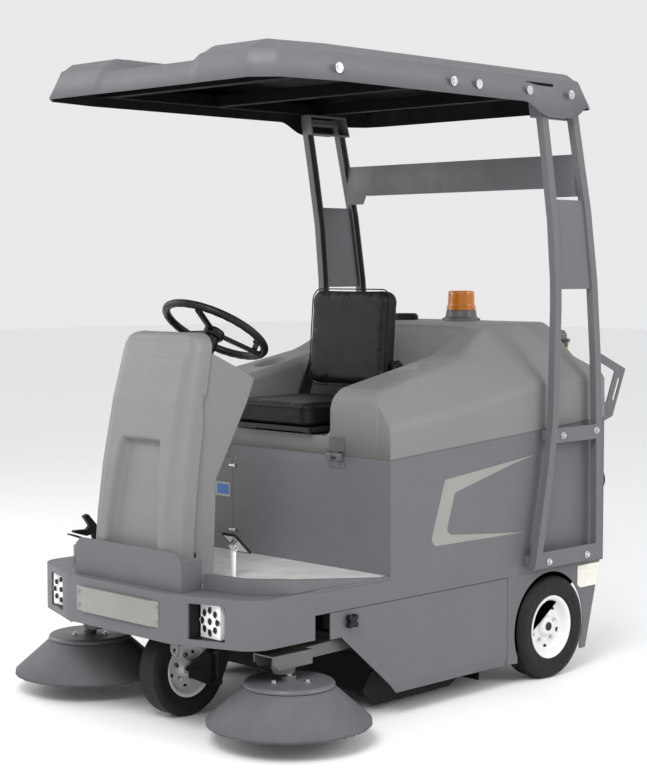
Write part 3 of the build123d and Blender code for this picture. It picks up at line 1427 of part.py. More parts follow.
# ================================================================ cover over the batteries, with arms and hump
def cover_form(t):
    """Solid of the cover's outer shape, drawn in by t on every side for its hollow."""
    with BuildPart() as form:
        with BuildSketch(side_plane(-cover_half + t)):
            with BuildLine():
                Polyline((Y(body_front + t), seam_front_z - (t > 0)), (Y(body_front + t), 978 - t),
                         (Y(-796 + t), 1003 - t), (Y(-768 + t / 2), 1023 - t), (Y(-345), 1110 - t),
                         (Y(-180), 1200 - t), (Y(-95 + t / 2), hump_top - t), (Y(178 - t / 2), hump_top - t),
                         (Y(196 - t), 1190 - t / 2), (Y(212 - t), 1102 - t / 2), (Y(296 - t), 1048 - t),
                         (Y(body_rear - 1 - t), 1020), (Y(body_rear - 1 - t), seam_rear_z - 2 * (t > 0)), close=True)
            make_face()
        extrude(amount=2 * (cover_half - t))
        # sloping shoulders above the side walls
        for side in (-1, 1):
            with BuildSketch(across_plane(body_front - 60)):
                with BuildLine():
                    Polyline((side * (cover_half - t), 898 - t), (side * (430 - t), 1016 - t), (side * (400 - t), 1030 - t),
                             (side * (400 - t), 1400), (side * 640, 1400), (side * 640, 898 - t), close=True)
                make_face()
            with BuildSketch(across_plane(-345)):
                with BuildLine():
                    Polyline((side * (cover_half - t), 962 - t), (side * (420 - t), 1092 - t), (side * (390 - t), 1116 - t),
                             (side * (390 - t), 1400), (side * 640, 1400), (side * 640, 962 - t), close=True)
                make_face()
            with BuildSketch(across_plane(-60)):
                with BuildLine():
                    Polyline((side * (cover_half - t), 1016 - t), (side * (408 - t), 1140 - t), (side * (330 - t), 1216 - t),
                             (side * (330 - t), 1400), (side * 640, 1400), (side * 640, 1016 - t), close=True)
                make_face()
            with BuildSketch(across_plane(body_rear + 40)):
                with BuildLine():
                    Polyline((side * (cover_half - t), 1030 - t), (side * (420 - t), 1125 - t), (side * (352 - t), 1216 - t),
                             (side * (352 - t), 1400), (side * 640, 1400), (side * 640, 1030 - t), close=True)
                make_face()
            loft(ruled=True, mode=Mode.SUBTRACT)
        # seat well
        with BuildSketch(side_plane(-well_half - t)):
            with BuildLine():
                Polyline((Y(body_front - 5), well_floor - t), (Y(-300 + t), well_floor - t), (Y(-262 + t), 960),
                         (Y(-150 + t), hump_top + 10), (Y(body_front - 5), hump_top + 10), close=True)
            make_face()
        extrude(amount=2 * (well_half + t), mode=Mode.SUBTRACT)
    return form.part


cup_x, cup_y, cup_z = 322.0, -520.0, 1046.0
with BuildPart() as cover_hollow:
    add(cover_form(cover_wall))
    for side in (-1, 1):
        with BuildSketch(Plane.XY.offset(cup_z - 7)):
            with Locations((side * cup_x, Y(cup_y))):
                Ellipse(45, 69)
        extrude(amount=90, mode=Mode.SUBTRACT)

with BuildPart() as tank_cover:
    add(cover_form(0))
    add(cover_hollow.part, mode=Mode.SUBTRACT)
    for side in (-1, 1):
        with BuildSketch(Plane.XY.offset(cup_z)):
            with Locations((side * cup_x, Y(cup_y))):
                Ellipse(38, 62)
        extrude(amount=60, mode=Mode.SUBTRACT)
    with BuildSketch(Plane.XY.offset(hump_top - 30)):
        with Locations((cap_x, Y(cap_y))):
            Circle(34)
    extrude(amount=40, mode=Mode.SUBTRACT)
    # foot of the beacon
    with BuildSketch(Plane.XY.offset(hump_top)):
        with Locations((0, Y(beacon_y - 30))):
            Circle(70)
    extrude(amount=8)
    with BuildSketch(Plane.XY.offset(hump_top + 8)):
        with Locations((0, Y(beacon_y - 30))):
            Circle(60)
    extrude(amount=30, taper=12)
tank_cover.part.label = "tank_cover"
export_step(tank_cover.part, "parts/tank_cover.step")

with BuildPart() as cover_hinges:
    for side in (-1, 1):
        with BuildSketch(across_plane(body_front)):
            with Locations((side * hinge_x, (hinge_z + 863) / 2 + 5)):
                Rectangle(68, 863 - hinge_z - 10)
        extrude(amount=3)
        with BuildSketch(side_plane(side * hinge_x - 12)):
            with BuildLine():
                Polyline((Y(body_front - 3), hinge_z + 14), (Y(body_front - 3), hinge_z - 1), (Y(hinge_y), hinge_z - 1),
                         (Y(hinge_y), hinge_z + 6), close=True)
            make_face()
            with Locations((Y(hinge_y), hinge_z)):
                Circle(7)
            with Locations((Y(hinge_y), hinge_z)):
                Circle(3.5 + run_gap, mode=Mode.SUBTRACT)
        extrude(amount=24)

with BuildPart() as beacon_lens:
    with BuildSketch(Plane.XY.offset(hump_top + 38)):
        with Locations((0, Y(beacon_y - 30))):
            Circle(54)
    extrude(amount=14)
    with BuildSketch(Plane.XY.offset(hump_top + 52)) as lens_s:
        with Locations((0, Y(beacon_y - 30))):
            Circle(50)
    extrude(amount=56, taper=3)
    fillet(beacon_lens.edges().filter_by(GeomType.CIRCLE).group_by(Axis.Z)[-1], 6)
beacon_lens.part.label = "beacon_lens"
export_step(beacon_lens.part, "parts/beacon_lens.step")

with BuildPart() as filler_cap:
    with BuildSketch(Plane.XY.offset(hump_top + 0.3)):
        with Locations((cap_x, Y(cap_y))):
            Circle(cap_r)
    extrude(amount=17)
    with BuildSketch(Plane.XY.offset(hump_top + 17.3)):
        with Locations((cap_x, Y(cap_y))):
            Circle(cap_r - 5)
    extrude(amount=6)
    with BuildSketch(Plane.XY.offset(hump_top - 16)):
        with Locations((cap_x, Y(cap_y))):
            Circle(33.9)
    extrude(amount=17)
filler_cap.part.label = "filler_cap"
export_step(filler_cap.part, "parts/filler_cap.step")

rear_ear_x = 460.0
with BuildPart() as rear_bracket:
    for x0 in (rear_ear_x - 4, -rear_ear_x):
        with BuildSketch(side_plane(x0)):
            with BuildLine():
                Polyline((Y(body_rear), 1004), (Y(334), 1108), (Y(rear_reach), 1040), (Y(428), 872), (Y(body_rear), 838),
                         close=True)
            make_face()
            with BuildLine():
                Polyline((Y(350), 1070), (Y(440), 1034), (Y(392), 925), (Y(350), 925), close=True)
            make_face(mode=Mode.SUBTRACT)
            with Locations((Y(449), 968)):
                SlotOverall(88, 14, rotation=66, mode=Mode.SUBTRACT)
        extrude(amount=4)
    for x0 in (rear_ear_x - 17, -rear_ear_x + 17):
        with BuildSketch(across_plane(body_rear)):
            with Locations((x0, 925)):
                Rectangle(34, 150)
        extrude(amount=-4)

bar_y, bar_z, bar_r = 246.0, 1148.0, 7.0
with BuildPart() as spray_bar:
    for x0 in (rear_ear_x - 90, -rear_ear_x + 86):
        with BuildSketch(side_plane(x0)):
            with BuildLine():
                Polyline((Y(222), 1096), (Y(272), 1064.5), (Y(268), 1168), (Y(252), 1184), (Y(236), 1184),
                         (Y(222), 1140), close=True)
            make_face()
            with Locations((Y(254), 1168)):
                Circle(4, mode=Mode.SUBTRACT)
        extrude(amount=4)
    with BuildSketch(side_plane(-rear_ear_x + 60)):
        with Locations((Y(bar_y), bar_z)):
            Circle(bar_r)
    extrude(amount=2 * rear_ear_x - 120)

with BuildPart() as spray_nozzles:
    with BuildSketch(Plane.XY.offset(bar_z - bar_r - 14)):
        with Locations(*[(a, Y(bar_y)) for a in (-390, -130, 130, 390)]):
            Circle(6)
    extrude(amount=17)
    with BuildSketch(Plane.XY.offset(bar_z - bar_r - 34)):
        with Locations(*[(a, Y(bar_y)) for a in (-390, -130, 130, 390)]):
            Circle(4)
    extrude(amount=20)
    with BuildSketch(side_plane(-rear_ear_x + 60)):
        with Locations((Y(bar_y), bar_z)):
            Circle(bar_r)
    extrude(amount=2 * rear_ear_x - 120, mode=Mode.SUBTRACT)

# ================================================================ seat
with BuildPart() as seat_rails:
    with BuildSketch(Plane.XY.offset(well_floor)):
        with Locations((-130, Y(-640)), (130, Y(-640))):
            Rectangle(34, 300)
    extrude(amount=10)

with BuildPart() as seat_pan:
    with BuildSketch(Plane.XY.offset(well_floor + 10.3)):
        with Locations((0, Y((seat_front + seat_rear) / 2))):
            Rectangle(2 * seat_half - 20, seat_rear - seat_front - 30)
    extrude(amount=seat_z0 - well_floor - 10.3)
    for side in (-1, 1):
        with BuildSketch(side_plane(side * 206 - 4)):
            with BuildLine():
                Polyline((Y(-520), seat_z0 - 8), (Y(-475), seat_z0 - 8), (Y(back_pivot_y + 18), back_pivot_z - 30),
                         (Y(back_pivot_y + 20), back_pivot_z), (Y(back_pivot_y), back_pivot_z + 18),
                         (Y(back_pivot_y - 18), back_pivot_z), (Y(-520), seat_z0 + 30), close=True)
            make_face()
            with Locations((Y(back_pivot_y), back_pivot_z)):
                Circle(6 + run_gap, mode=Mode.SUBTRACT)
        extrude(amount=8)
        with BuildSketch(Plane.XY.offset(seat_z0 - 8)):
            with Locations((side * 194, Y(-498))):
                Rectangle(32, 44)
        extrude(amount=7.7)
seat_pan.part.label = "seat_pan"
export_step(seat_pan.part, "parts/seat_pan.step")

with BuildPart() as seat_cushion:
    with BuildSketch(Plane.XY.offset(seat_z0)) as cushion_s:
        with Locations((0, Y((seat_front + seat_rear) / 2))):
            Rectangle(2 * seat_half, seat_rear - seat_front)
        fillet(cushion_s.vertices(), 34)
    extrude(amount=seat_z1 - seat_z0)
    fillet(seat_cushion.edges().group_by(Axis.Z)[-1], 22)
seat_cushion.part.label = "seat_cushion"
export_step(seat_cushion.part, "parts/seat_cushion.step")

back_plane = Plane(origin=(0, Y(back_pivot_y), back_pivot_z), x_dir=(1, 0, 0),
                   z_dir=(0, -cos(radians(back_tilt)), sin(radians(back_tilt))))
with BuildPart() as seat_back:
    with BuildSketch(back_plane.offset(-20)) as back_s:
        with Locations((0, (back_top - back_pivot_z - 84) / 2)):
            Rectangle(2 * back_half, back_top - back_pivot_z + 84)
        fillet(back_s.vertices(), 40)
    extrude(amount=66)
    fillet(seat_back.faces().sort_by(Axis.Y)[0].edges(), 18)

with BuildPart() as back_frame:
    with BuildSketch(back_plane.offset(-26)):
        with Locations((0, 60)):
            Rectangle(2 * back_half - 60, 260)
    extrude(amount=6)
    for side in (-1, 1):
        with BuildSketch(side_plane(side * 193.5 - 5.5)):
            with Locations((Y(back_pivot_y), back_pivot_z)):
                Circle(16)
        extrude(amount=9)
        with BuildSketch(side_plane(side * 200 - 12)):
            with Locations((Y(back_pivot_y), back_pivot_z)):
                Circle(6)
        extrude(amount=24)

with BuildPart() as seat_backrest:
    add(seat_back.part)
    add(back_frame.part)
seat_backrest.part.label = "seat_backrest"
export_step(seat_backrest.part, "parts/seat_backrest.step")

with BuildPart() as cover_hardware:
    add(cover_hinges.part)
    add(seat_rails.part)
cover_hardware.part.label = "cover_hardware"
export_step(cover_hardware.part, "parts/cover_hardware.step")

with BuildPart() as rear_hanger:
    add(rear_bracket.part)
    add(spray_bar.part)
    add(spray_nozzles.part)
rear_hanger.part.label = "rear_hanger"
export_step(rear_hanger.part, "parts/rear_hanger.step")
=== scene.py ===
# %% [markdown]
# A ride-on sweeper with a roof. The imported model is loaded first: it fixes the size, the place
# and the joints of everything. Each visible piece is then made again with softer edges and real
# detail, in metres, in the same frame: +Z is up, the machine faces -Y, and +X is its left side.

# %% Load the frame
import json
from math import cos, pi, radians, sin

import bmesh
import bpy
import numpy as np
from mathutils import Matrix, Vector


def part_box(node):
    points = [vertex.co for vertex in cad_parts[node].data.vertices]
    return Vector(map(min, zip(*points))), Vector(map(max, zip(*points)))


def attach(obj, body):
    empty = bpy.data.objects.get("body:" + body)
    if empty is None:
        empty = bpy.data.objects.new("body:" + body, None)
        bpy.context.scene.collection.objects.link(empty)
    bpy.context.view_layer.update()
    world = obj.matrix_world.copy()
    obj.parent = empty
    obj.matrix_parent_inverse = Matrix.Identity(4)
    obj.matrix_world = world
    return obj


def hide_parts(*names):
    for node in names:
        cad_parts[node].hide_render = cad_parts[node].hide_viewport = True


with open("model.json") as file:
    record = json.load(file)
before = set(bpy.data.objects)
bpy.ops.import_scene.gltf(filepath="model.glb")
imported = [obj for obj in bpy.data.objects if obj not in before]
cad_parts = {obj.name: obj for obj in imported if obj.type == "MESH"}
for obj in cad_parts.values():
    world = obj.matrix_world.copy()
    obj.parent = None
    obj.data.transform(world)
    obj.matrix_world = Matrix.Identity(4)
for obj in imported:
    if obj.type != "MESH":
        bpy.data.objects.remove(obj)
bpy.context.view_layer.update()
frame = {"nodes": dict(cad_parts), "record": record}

# %% [markdown]
# Lengths along the machine are easiest to read from the rear axle, so one helper turns them
# into the frame's Y. The left tyre's box gives the axle's place.

# %% Where the rear axle is
tyre_low, tyre_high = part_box("rear_tyre_left")
AXLE_Y = (tyre_low[1] + tyre_high[1]) / 2
BODY_HALF = 0.5125
SEAM_FRONT = 0.810
SEAM_REAR = 0.878
BODY_FRONT = -0.804
BODY_REAR = 0.305


def along(d):
    """Y of a place d metres behind the rear axle."""
    return AXLE_Y + d


print("rear axle at", round(AXLE_Y, 4))

# %% [markdown]
# The camera stands in front of the machine's left corner, a little below eye height, and looks
# slightly down. A long lens keeps the posts nearly parallel.

# %% Camera
CAMERA_TURN = radians(44.917)
CAMERA_DIP = radians(3.922)
camera = bpy.data.objects.new("camera", bpy.data.cameras.new("camera"))
bpy.context.scene.collection.objects.link(camera)
camera.location = (4.1353, -4.2433, 1.398)
looking = Vector((-sin(CAMERA_TURN) * cos(CAMERA_DIP), cos(CAMERA_TURN) * cos(CAMERA_DIP), -sin(CAMERA_DIP)))
camera.rotation_mode = "QUATERNION"
camera.rotation_quaternion = looking.to_track_quat("-Z", "Y")
camera.data.lens = 80.6
camera.data.dof.use_dof = False
bpy.context.scene.camera = camera
print("camera looks along", looking)

# %% [markdown]
# Finishes come before the pieces. Each is a node material whose patterns read Object
# coordinates, so they stay on the surface. Most share the same build: a base colour that
# drifts a little, roughness that varies, and a fine grain as bump. One helper wires that.

# %% The shared build of a finish
def wire(tree, start, out_name, end, in_name):
    tree.links.new(start.outputs[out_name], end.inputs[in_name])


def noise_on(tree, scale, detail=3.0, stretch=(1, 1, 1)):
    """A noise texture on Object coordinates, stretched by a Mapping node."""
    place = tree.nodes.new("ShaderNodeTexCoord")
    mapping = tree.nodes.new("ShaderNodeMapping")
    mapping.inputs["Scale"].default_value = stretch
    noise = tree.nodes.new("ShaderNodeTexNoise")
    noise.inputs["Scale"].default_value = scale
    noise.inputs["Detail"].default_value = detail
    wire(tree, place, "Object", mapping, "Vector")
    wire(tree, mapping, "Vector", noise, "Vector")
    return noise


def spread(tree, source, low, high, out_name="Fac"):
    """Maps a texture's middle range to low..high."""
    ranged = tree.nodes.new("ShaderNodeMapRange")
    ranged.inputs["From Min"].default_value = 0.3
    ranged.inputs["From Max"].default_value = 0.7
    ranged.inputs["To Min"].default_value = low
    ranged.inputs["To Max"].default_value = high
    wire(tree, source, out_name, ranged, "Value")
    return ranged


def base_finish(name, colour, roughness, metallic=0.0, drift=0.06, drift_scale=4.0,
                grain_scale=600.0, grain=0.05, coat=0.0, stretch=(1, 1, 1), shine=0.5):
    """A finish with drifting colour and roughness and a fine grain. Returns material, tree, shader."""
    material = bpy.data.materials.new(name)
    material.use_nodes = True
    tree = material.node_tree
    shader = tree.nodes["Principled BSDF"]
    shader.inputs["Metallic"].default_value = metallic
    shader.inputs["Coat Weight"].default_value = coat
    shader.inputs["Specular IOR Level"].default_value = shine
    clouds = noise_on(tree, drift_scale, 4.0)
    ramp = tree.nodes.new("ShaderNodeValToRGB")
    ramp.color_ramp.elements[0].position = 0.3
    ramp.color_ramp.elements[1].position = 0.7
    ramp.color_ramp.elements[0].color = [c * (1 - drift) for c in colour] + [1]
    ramp.color_ramp.elements[1].color = [c * (1 + drift) for c in colour] + [1]
    wire(tree, clouds, "Fac", ramp, "Fac")
    wire(tree, ramp, "Color", shader, "Base Color")
    gloss = spread(tree, noise_on(tree, drift_scale * 5, 3.0, stretch), roughness * 0.88, roughness * 1.12)
    wire(tree, gloss, "Result", shader, "Roughness")
    fine = noise_on(tree, grain_scale, 2.0, stretch)
    bump = tree.nodes.new("ShaderNodeBump")
    bump.inputs["Strength"].default_value = grain
    bump.inputs["Distance"].default_value = 0.0006
    wire(tree, fine, "Fac", bump, "Height")
    wire(tree, bump, "Normal", shader, "Normal")
    return material, tree, shader


# %% [markdown]
# Powder-coated sheet has a faint orange peel: soft dimples one or two millimetres across.
# Moulded covers are lighter and duller, with a much finer grain.

# %% Paint and mouldings
PANEL_GREY = (0.112, 0.115, 0.124)
MOULDING_GREY = (0.172, 0.172, 0.170)


def panel_paint():
    return base_finish("panel_paint", PANEL_GREY, 0.46, grain_scale=420, grain=0.08, drift=0.03,
                       shine=0.35)[0]


def chassis_paint():
    return base_finish("chassis_paint", (0.014, 0.014, 0.015), 0.50, grain_scale=380, grain=0.12,
                       shine=0.3)[0]


def roof_moulding():
    return base_finish("roof_moulding", (0.118, 0.120, 0.128), 0.50, grain_scale=900, grain=0.10, drift=0.02,
                       shine=0.35)[0]


def pale_moulding():
    return base_finish("pale_moulding", MOULDING_GREY, 0.52, grain_scale=900, grain=0.12, drift=0.02,
                       shine=0.35)[0]


def black_moulding():
    return base_finish("black_moulding", (0.006, 0.006, 0.0065), 0.45, grain_scale=900, grain=0.15,
                       shine=0.25)[0]


# Painted shade: a near-black finish with almost no shine, used on the roof's underside and on the canopy
# frame, standing in for the shade under the roof.
def painted_roof_shade():
    return base_finish("painted_roof_shade", (0.003, 0.003, 0.003), 0.70, grain_scale=900, grain=0.10,
                       shine=0.08)[0]


def clamp_red():
    return base_finish("clamp_red", (0.62, 0.045, 0.02), 0.32, grain_scale=700, grain=0.04, coat=0.3)[0]


def beam_white():
    return base_finish("beam_white", (0.80, 0.81, 0.82), 0.28, grain_scale=500, grain=0.03, coat=0.4)[0]


def decal_grey():
    return base_finish("decal_grey", (0.25, 0.25, 0.235), 0.42, grain_scale=700, grain=0.03, shine=0.3)[0]


def label_blue():
    return base_finish("label_blue", (0.03, 0.12, 0.38), 0.35, grain_scale=700, grain=0.03)[0]


paint = panel_paint()
frame_black = chassis_paint()
moulding = pale_moulding()
roof_grey = roof_moulding()
black_plastic = black_moulding()
under_roof_shade = painted_roof_shade()
print("paint and mouldings ready")

# %% [markdown]
# Bare metals: hex heads and pedal are bright steel, broom arms and hinges are dark steel, the
# floor is a bright sheet with a fine rolled grain, and the nozzles are brass. A stretched
# noise gives the brushed lines.

# %% Bare metals
def arm_steel():
    return base_finish("arm_steel", (0.115, 0.115, 0.11), 0.38, metallic=0.35, grain_scale=400, grain=0.08)[0]


def bright_steel():
    return base_finish("bright_steel", (0.62, 0.63, 0.64), 0.24, metallic=1.0, grain_scale=300, grain=0.05)[0]


def brushed_plate():
    return base_finish("brushed_plate", (0.27, 0.27, 0.255), 0.40, metallic=0.5, grain_scale=500,
                       grain=0.10, stretch=(0.06, 1, 1))[0]


def nozzle_brass():
    return base_finish("nozzle_brass", (0.60, 0.40, 0.12), 0.30, metallic=1.0, grain_scale=400, grain=0.04)[0]


def floor_metal():
    """Bright floor sheet with a grain along one direction."""
    return base_finish("floor_metal", (0.72, 0.72, 0.71), 0.40, metallic=0.35, drift=0.10,
                       drift_scale=14, grain_scale=260, grain=0.12, stretch=(1, 0.08, 1))[0]


steel = bright_steel()
arm_grey = arm_steel()
plate = brushed_plate()
brass = nozzle_brass()
tread_metal = floor_metal()
print("metals ready")

# %% [markdown]
# Rubber and vinyl are nearly black. Tyres are dull with a soft dusty drift. The seat's vinyl
# has a leather-like grain: cells from a Voronoi texture, with the noise breaking them up.

# %% Rubber, vinyl, bristle and lens
def tyre_rubber():
    return base_finish("tyre_rubber", (0.009, 0.009, 0.0095), 0.62, drift=0.2, drift_scale=9,
                       grain_scale=500, grain=0.2, shine=0.25)[0]


def seat_vinyl():
    material, tree, shader = base_finish("seat_vinyl", (0.005, 0.005, 0.005), 0.50, drift=0.12,
                                         grain_scale=900, grain=0.10, shine=0.22)
    place = tree.nodes.new("ShaderNodeTexCoord")
    cells = tree.nodes.new("ShaderNodeTexVoronoi")
    cells.feature = "DISTANCE_TO_EDGE"
    cells.inputs["Scale"].default_value = 420
    wire(tree, place, "Object", cells, "Vector")
    crease = tree.nodes.new("ShaderNodeBump")
    crease.inputs["Strength"].default_value = 0.22
    crease.inputs["Distance"].default_value = 0.0006
    wire(tree, cells, "Distance", crease, "Height")
    fine = [n for n in tree.nodes if n.type == "BUMP" and n != crease][0]
    wire(tree, fine, "Normal", crease, "Normal")
    wire(tree, crease, "Normal", shader, "Normal")
    return material


def rim_white():
    return base_finish("rim_white", (0.70, 0.70, 0.69), 0.30, grain_scale=500, grain=0.04, coat=0.3)[0]


def broom_bristle():
    return base_finish("broom_bristle", (0.105, 0.107, 0.114), 0.60, drift=0.06, drift_scale=20,
                       grain_scale=700, grain=0.15, stretch=(1, 1, 0.08), shine=0.2)[0]


def broom_plate():
    return base_finish("broom_plate", (0.098, 0.100, 0.108), 0.45, grain_scale=700, grain=0.08)[0]


def amber_lens():
    material, tree, shader = base_finish("amber_lens", (0.66, 0.20, 0.004), 0.22, drift=0.05,
                                         grain_scale=400, grain=0.02)
    shader.inputs["Transmission Weight"].default_value = 0.25
    shader.inputs["Coat Weight"].default_value = 0.3
    return material


def cream_prism():
    return base_finish("cream_prism", (0.74, 0.72, 0.64), 0.25, drift=0.06, drift_scale=60,
                       grain_scale=300, grain=0.3, coat=0.4)[0]


rubber = tyre_rubber()
vinyl = seat_vinyl()
white_rim = rim_white()
bristle = broom_bristle()
hub_plate = broom_plate()
amber = amber_lens()
cream = cream_prism()
print("rubber, vinyl, bristle and lens ready")

# %% [markdown]
# A few helpers make pieces. One turns a finished bmesh into an object that rides on its body
# and stands for CAD nodes. One makes a copy of a CAD node, joins its loose triangles into
# faces and eases every sharp edge with a Bevel, which is how folded and moulded parts look.
# One spins a profile, for everything that is round.

# %% Helpers for pieces
BODY_OF = {node: body for body, nodes in frame["record"]["behaviour"]["bodies"].items() for node in nodes}
SLOT_OF = {row["node"]: row["material_slot"] for row in frame["record"]["subparts"]}


def piece(name, bm, finish, body, slot, *nodes, smooth=True, flat_over=40):
    """A finished piece from a bmesh; nodes are the CAD nodes that it stands for."""
    mesh = bpy.data.meshes.new(name)
    bm.to_mesh(mesh)
    bm.free()
    mesh.materials.append(finish)
    if smooth:
        mesh.polygons.foreach_set("use_smooth", [True] * len(mesh.polygons))
        mesh.set_sharp_from_angle(angle=radians(flat_over))
    obj = bpy.data.objects.new(name, mesh)
    bpy.context.scene.collection.objects.link(obj)
    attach(obj, body)
    if nodes:
        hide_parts(*nodes)
    return obj


def verts_of(made):
    """The vertices in what an operator made."""
    return [g for g in made if isinstance(g, bmesh.types.BMVert)]


def round_off(bm, geom, offset, segments, affect="EDGES"):
    """Rounds edges or corners of bm."""
    bmesh.ops.bevel(bm, geom=geom, offset=offset, segments=segments, affect=affect, profile=0.5, material=-1)


def add_bevel(obj, width, segments=2, angle=35):
    bevel = obj.modifiers.new("eased edges", "BEVEL")
    bevel.width = width
    bevel.segments = segments
    bevel.limit_method = "ANGLE"
    bevel.angle_limit = radians(angle)
    bevel.harden_normals = True
    return bevel


def joined_copy(node):
    """A bmesh of a CAD node with its triangles joined into whole faces."""
    bm = bmesh.new()
    bm.from_mesh(frame["nodes"][node].data)
    bmesh.ops.remove_doubles(bm, verts=bm.verts, dist=2e-5)
    bmesh.ops.dissolve_limit(bm, angle_limit=radians(0.8), verts=bm.verts, edges=bm.edges)
    return bm


def eased(node, finish, width, segments=2, flat_over=30):
    """The CAD node again, with eased edges."""
    obj = piece(node + "_eased", joined_copy(node), finish, BODY_OF[node], SLOT_OF[node], node,
                flat_over=flat_over)
    add_bevel(obj, width, segments)
    print(obj.name, len(obj.data.polygons), "faces")
    return obj


def spun(points, centre, axis, steps=64):
    """A bmesh of a profile of (radius, height) points turned about axis at centre."""
    bm = bmesh.new()
    verts = [bm.verts.new((r, 0, h)) for r, h in points]
    edges = [bm.edges.new(pair) for pair in zip(verts, verts[1:])]
    bmesh.ops.spin(bm, geom=verts + edges, cent=(0, 0, 0), axis=(0, 0, 1), angle=2 * pi, steps=steps,
                   use_merge=True)
    bmesh.ops.remove_doubles(bm, verts=bm.verts, dist=1e-5)
    bmesh.ops.recalc_face_normals(bm, faces=bm.faces)
    turn = Vector(axis).to_track_quat("Z", "X").to_matrix().to_4x4()
    bmesh.ops.transform(bm, matrix=Matrix.Translation(centre) @ turn, verts=bm.verts)
    return bm


def block(bm, size, centre, turn=None):
    """Adds a box to bm and returns its vertices."""
    made = bmesh.ops.create_cube(bm, size=1)["verts"]
    matrix = Matrix.Translation(centre) @ (turn or Matrix.Identity(4)) @ Matrix.Diagonal((*size, 1))
    bmesh.ops.transform(bm, matrix=matrix, verts=made)
    return made


def bar(bm, start, end, radius, segments=16):
    """Adds a round bar between two points."""
    a, b = Vector(start), Vector(end)
    turn = (b - a).to_track_quat("Z", "X").to_matrix().to_4x4()
    matrix = Matrix.Translation((a + b) / 2) @ turn
    return bmesh.ops.create_cone(bm, cap_ends=True, segments=segments, radius1=radius, radius2=radius,
                                 depth=(b - a).length, matrix=matrix)["verts"]


print("helpers ready for", len(BODY_OF), "nodes")

# %% [markdown]
# The sheet-metal and frame pieces are the CAD shapes with eased edges. Their folds are tight,
# so the bevel is small: about one and a half millimetres, more on thick plastic.

# %% Folded and welded pieces
for node, width in (("body_panels", 0.0015), ("front_panel", 0.001), ("access_hatch", 0.001),
                    ("side_rails", 0.0012), ("wheel_arches", 0.0012),
                    ("post_frames", 0.0012), ("side_door_left", 0.0008), ("side_door_right", 0.0008),
                    ("rear_hanger", 0.0008)):
    eased(node, paint, width)
eased("platform", paint, 0.0012, flat_over=50)
eased("front_bumper", paint, 0.0025, 3)
eased("bumper_cover_plate", plate, 0.0008)
eased("floor_tread", tread_metal, 0.0006)

# %% [markdown]
# Frame, axle and fork are painted black; motors, battery and bin are black plastic or dark
# steel. They are CAD shapes too, so a loop over their nodes and bevel widths is enough.

# %% Black parts and fittings
for node, width in (("chassis_frame", 0.0012), ("drive_axle", 0.002), ("brush_housing", 0.001),
                    ("steer_fork", 0.001), ("trailing_arm", 0.0012),
                    ("seat_pan", 0.001)):
    eased(node, frame_black, width)
for node, width in (("broom_arm_left", 0.0012), ("broom_arm_right", 0.0012), ("cover_hardware", 0.0006)):
    eased(node, arm_grey, width)
for node, width in (("brush_motor", 0.001), ("battery_pack", 0.004), ("filter_box", 0.003),
                    ("suction_fan", 0.002), ("dust_bin", 0.0015), ("headlights", 0.0015),
                    ("tool_clamp", 0.0015), ("spinner_knob", 0.003),
                    ("filler_cap", 0.003)):
    eased(node, black_plastic, width)
# The canopy frame gets the near-black painted shade of the roof's underside.
eased("canopy_frame", under_roof_shade, 0.002)
eased("rubber_skirts", rubber, 0.001)
eased("drive_belt", rubber, 0.0008)
eased("fasteners", steel, 0.0008)
eased("motor_pulley", steel, 0.0008)
eased("clamp_lever", clamp_red(), 0.0015)
eased("side_reflectors", cream, 0.0005)
for side in ("left", "right"):
    eased("star_knob_" + side, black_plastic, 0.002, 3)

# %% [markdown]
# The cover over the batteries is one large moulding: two arm rests with cup recesses, a well
# for the seat, and a hump behind it. Across the machine each section is the same run of
# corners, up the side, over the shoulder, along the arm rest and down into the well, so the
# surface is a grid whose rows are those sections. Rounding each section's corners gives the
# moulding its soft look, and Solidify gives it a wall.

# %% Sections of the cover
COVER_HALF = BODY_HALF - 0.0006
WELL_HALF = 0.250
WELL_FLOOR = 0.868
CUP_X, CUP_Y, CUP_Z = 0.322, -0.520, 1.046
top_d = [-0.804, -0.796, -0.768, -0.345, -0.180, -0.095, 0.178, 0.196, 0.212, 0.296, 0.305]
top_z = [0.978, 1.003, 1.023, 1.110, 1.200, 1.214, 1.214, 1.190, 1.102, 1.048, 1.020]
shoulder_d = [-0.864, -0.345, -0.060, 0.346]
crease_z = [0.898, 0.962, 1.016, 1.030]
upper_x = [0.430, 0.420, 0.408, 0.420]
upper_z = [1.016, 1.092, 1.140, 1.125]
last_x = [0.400, 0.390, 0.330, 0.352]
last_z = [1.030, 1.116, 1.216, 1.216]


def seam_at(d):
    """Height of the joint between body and cover."""
    return SEAM_FRONT + (SEAM_REAR - SEAM_FRONT) * (d - BODY_FRONT) / (BODY_REAR - BODY_FRONT)


def cover_section(d):
    """Corners (x, z) of the cover's half section at d, from the seam to the middle."""
    top = np.interp(d, top_d, top_z)
    crease = np.interp(d, shoulder_d, crease_z)
    heights = [crease, np.interp(d, shoulder_d, upper_z), np.interp(d, shoulder_d, last_z)]
    widths = [COVER_HALF, np.interp(d, shoulder_d, upper_x), np.interp(d, shoulder_d, last_x)]
    crease = min(crease, top - 0.004)
    reach = np.interp(top, heights, widths)
    middle = np.interp(heights[1], [crease, top], [COVER_HALF, reach]) if top > heights[1] else None
    floor = min(np.interp(d, [-0.300, -0.262, -0.150], [WELL_FLOOR, 0.960, 1.224]), top)
    corners = [(COVER_HALF, seam_at(d)), (COVER_HALF, crease)]
    if middle is not None:
        corners.append((widths[1], heights[1]))
    else:
        corners.append(((COVER_HALF + reach) / 2, (crease + top) / 2))
    lip = min(0.016, (top - floor) / 2)
    corners += [(reach, top), (WELL_HALF + lip, top), (WELL_HALF, top - lip), (WELL_HALF, floor + lip),
                (WELL_HALF - lip, floor), (0.0, floor)]
    return corners


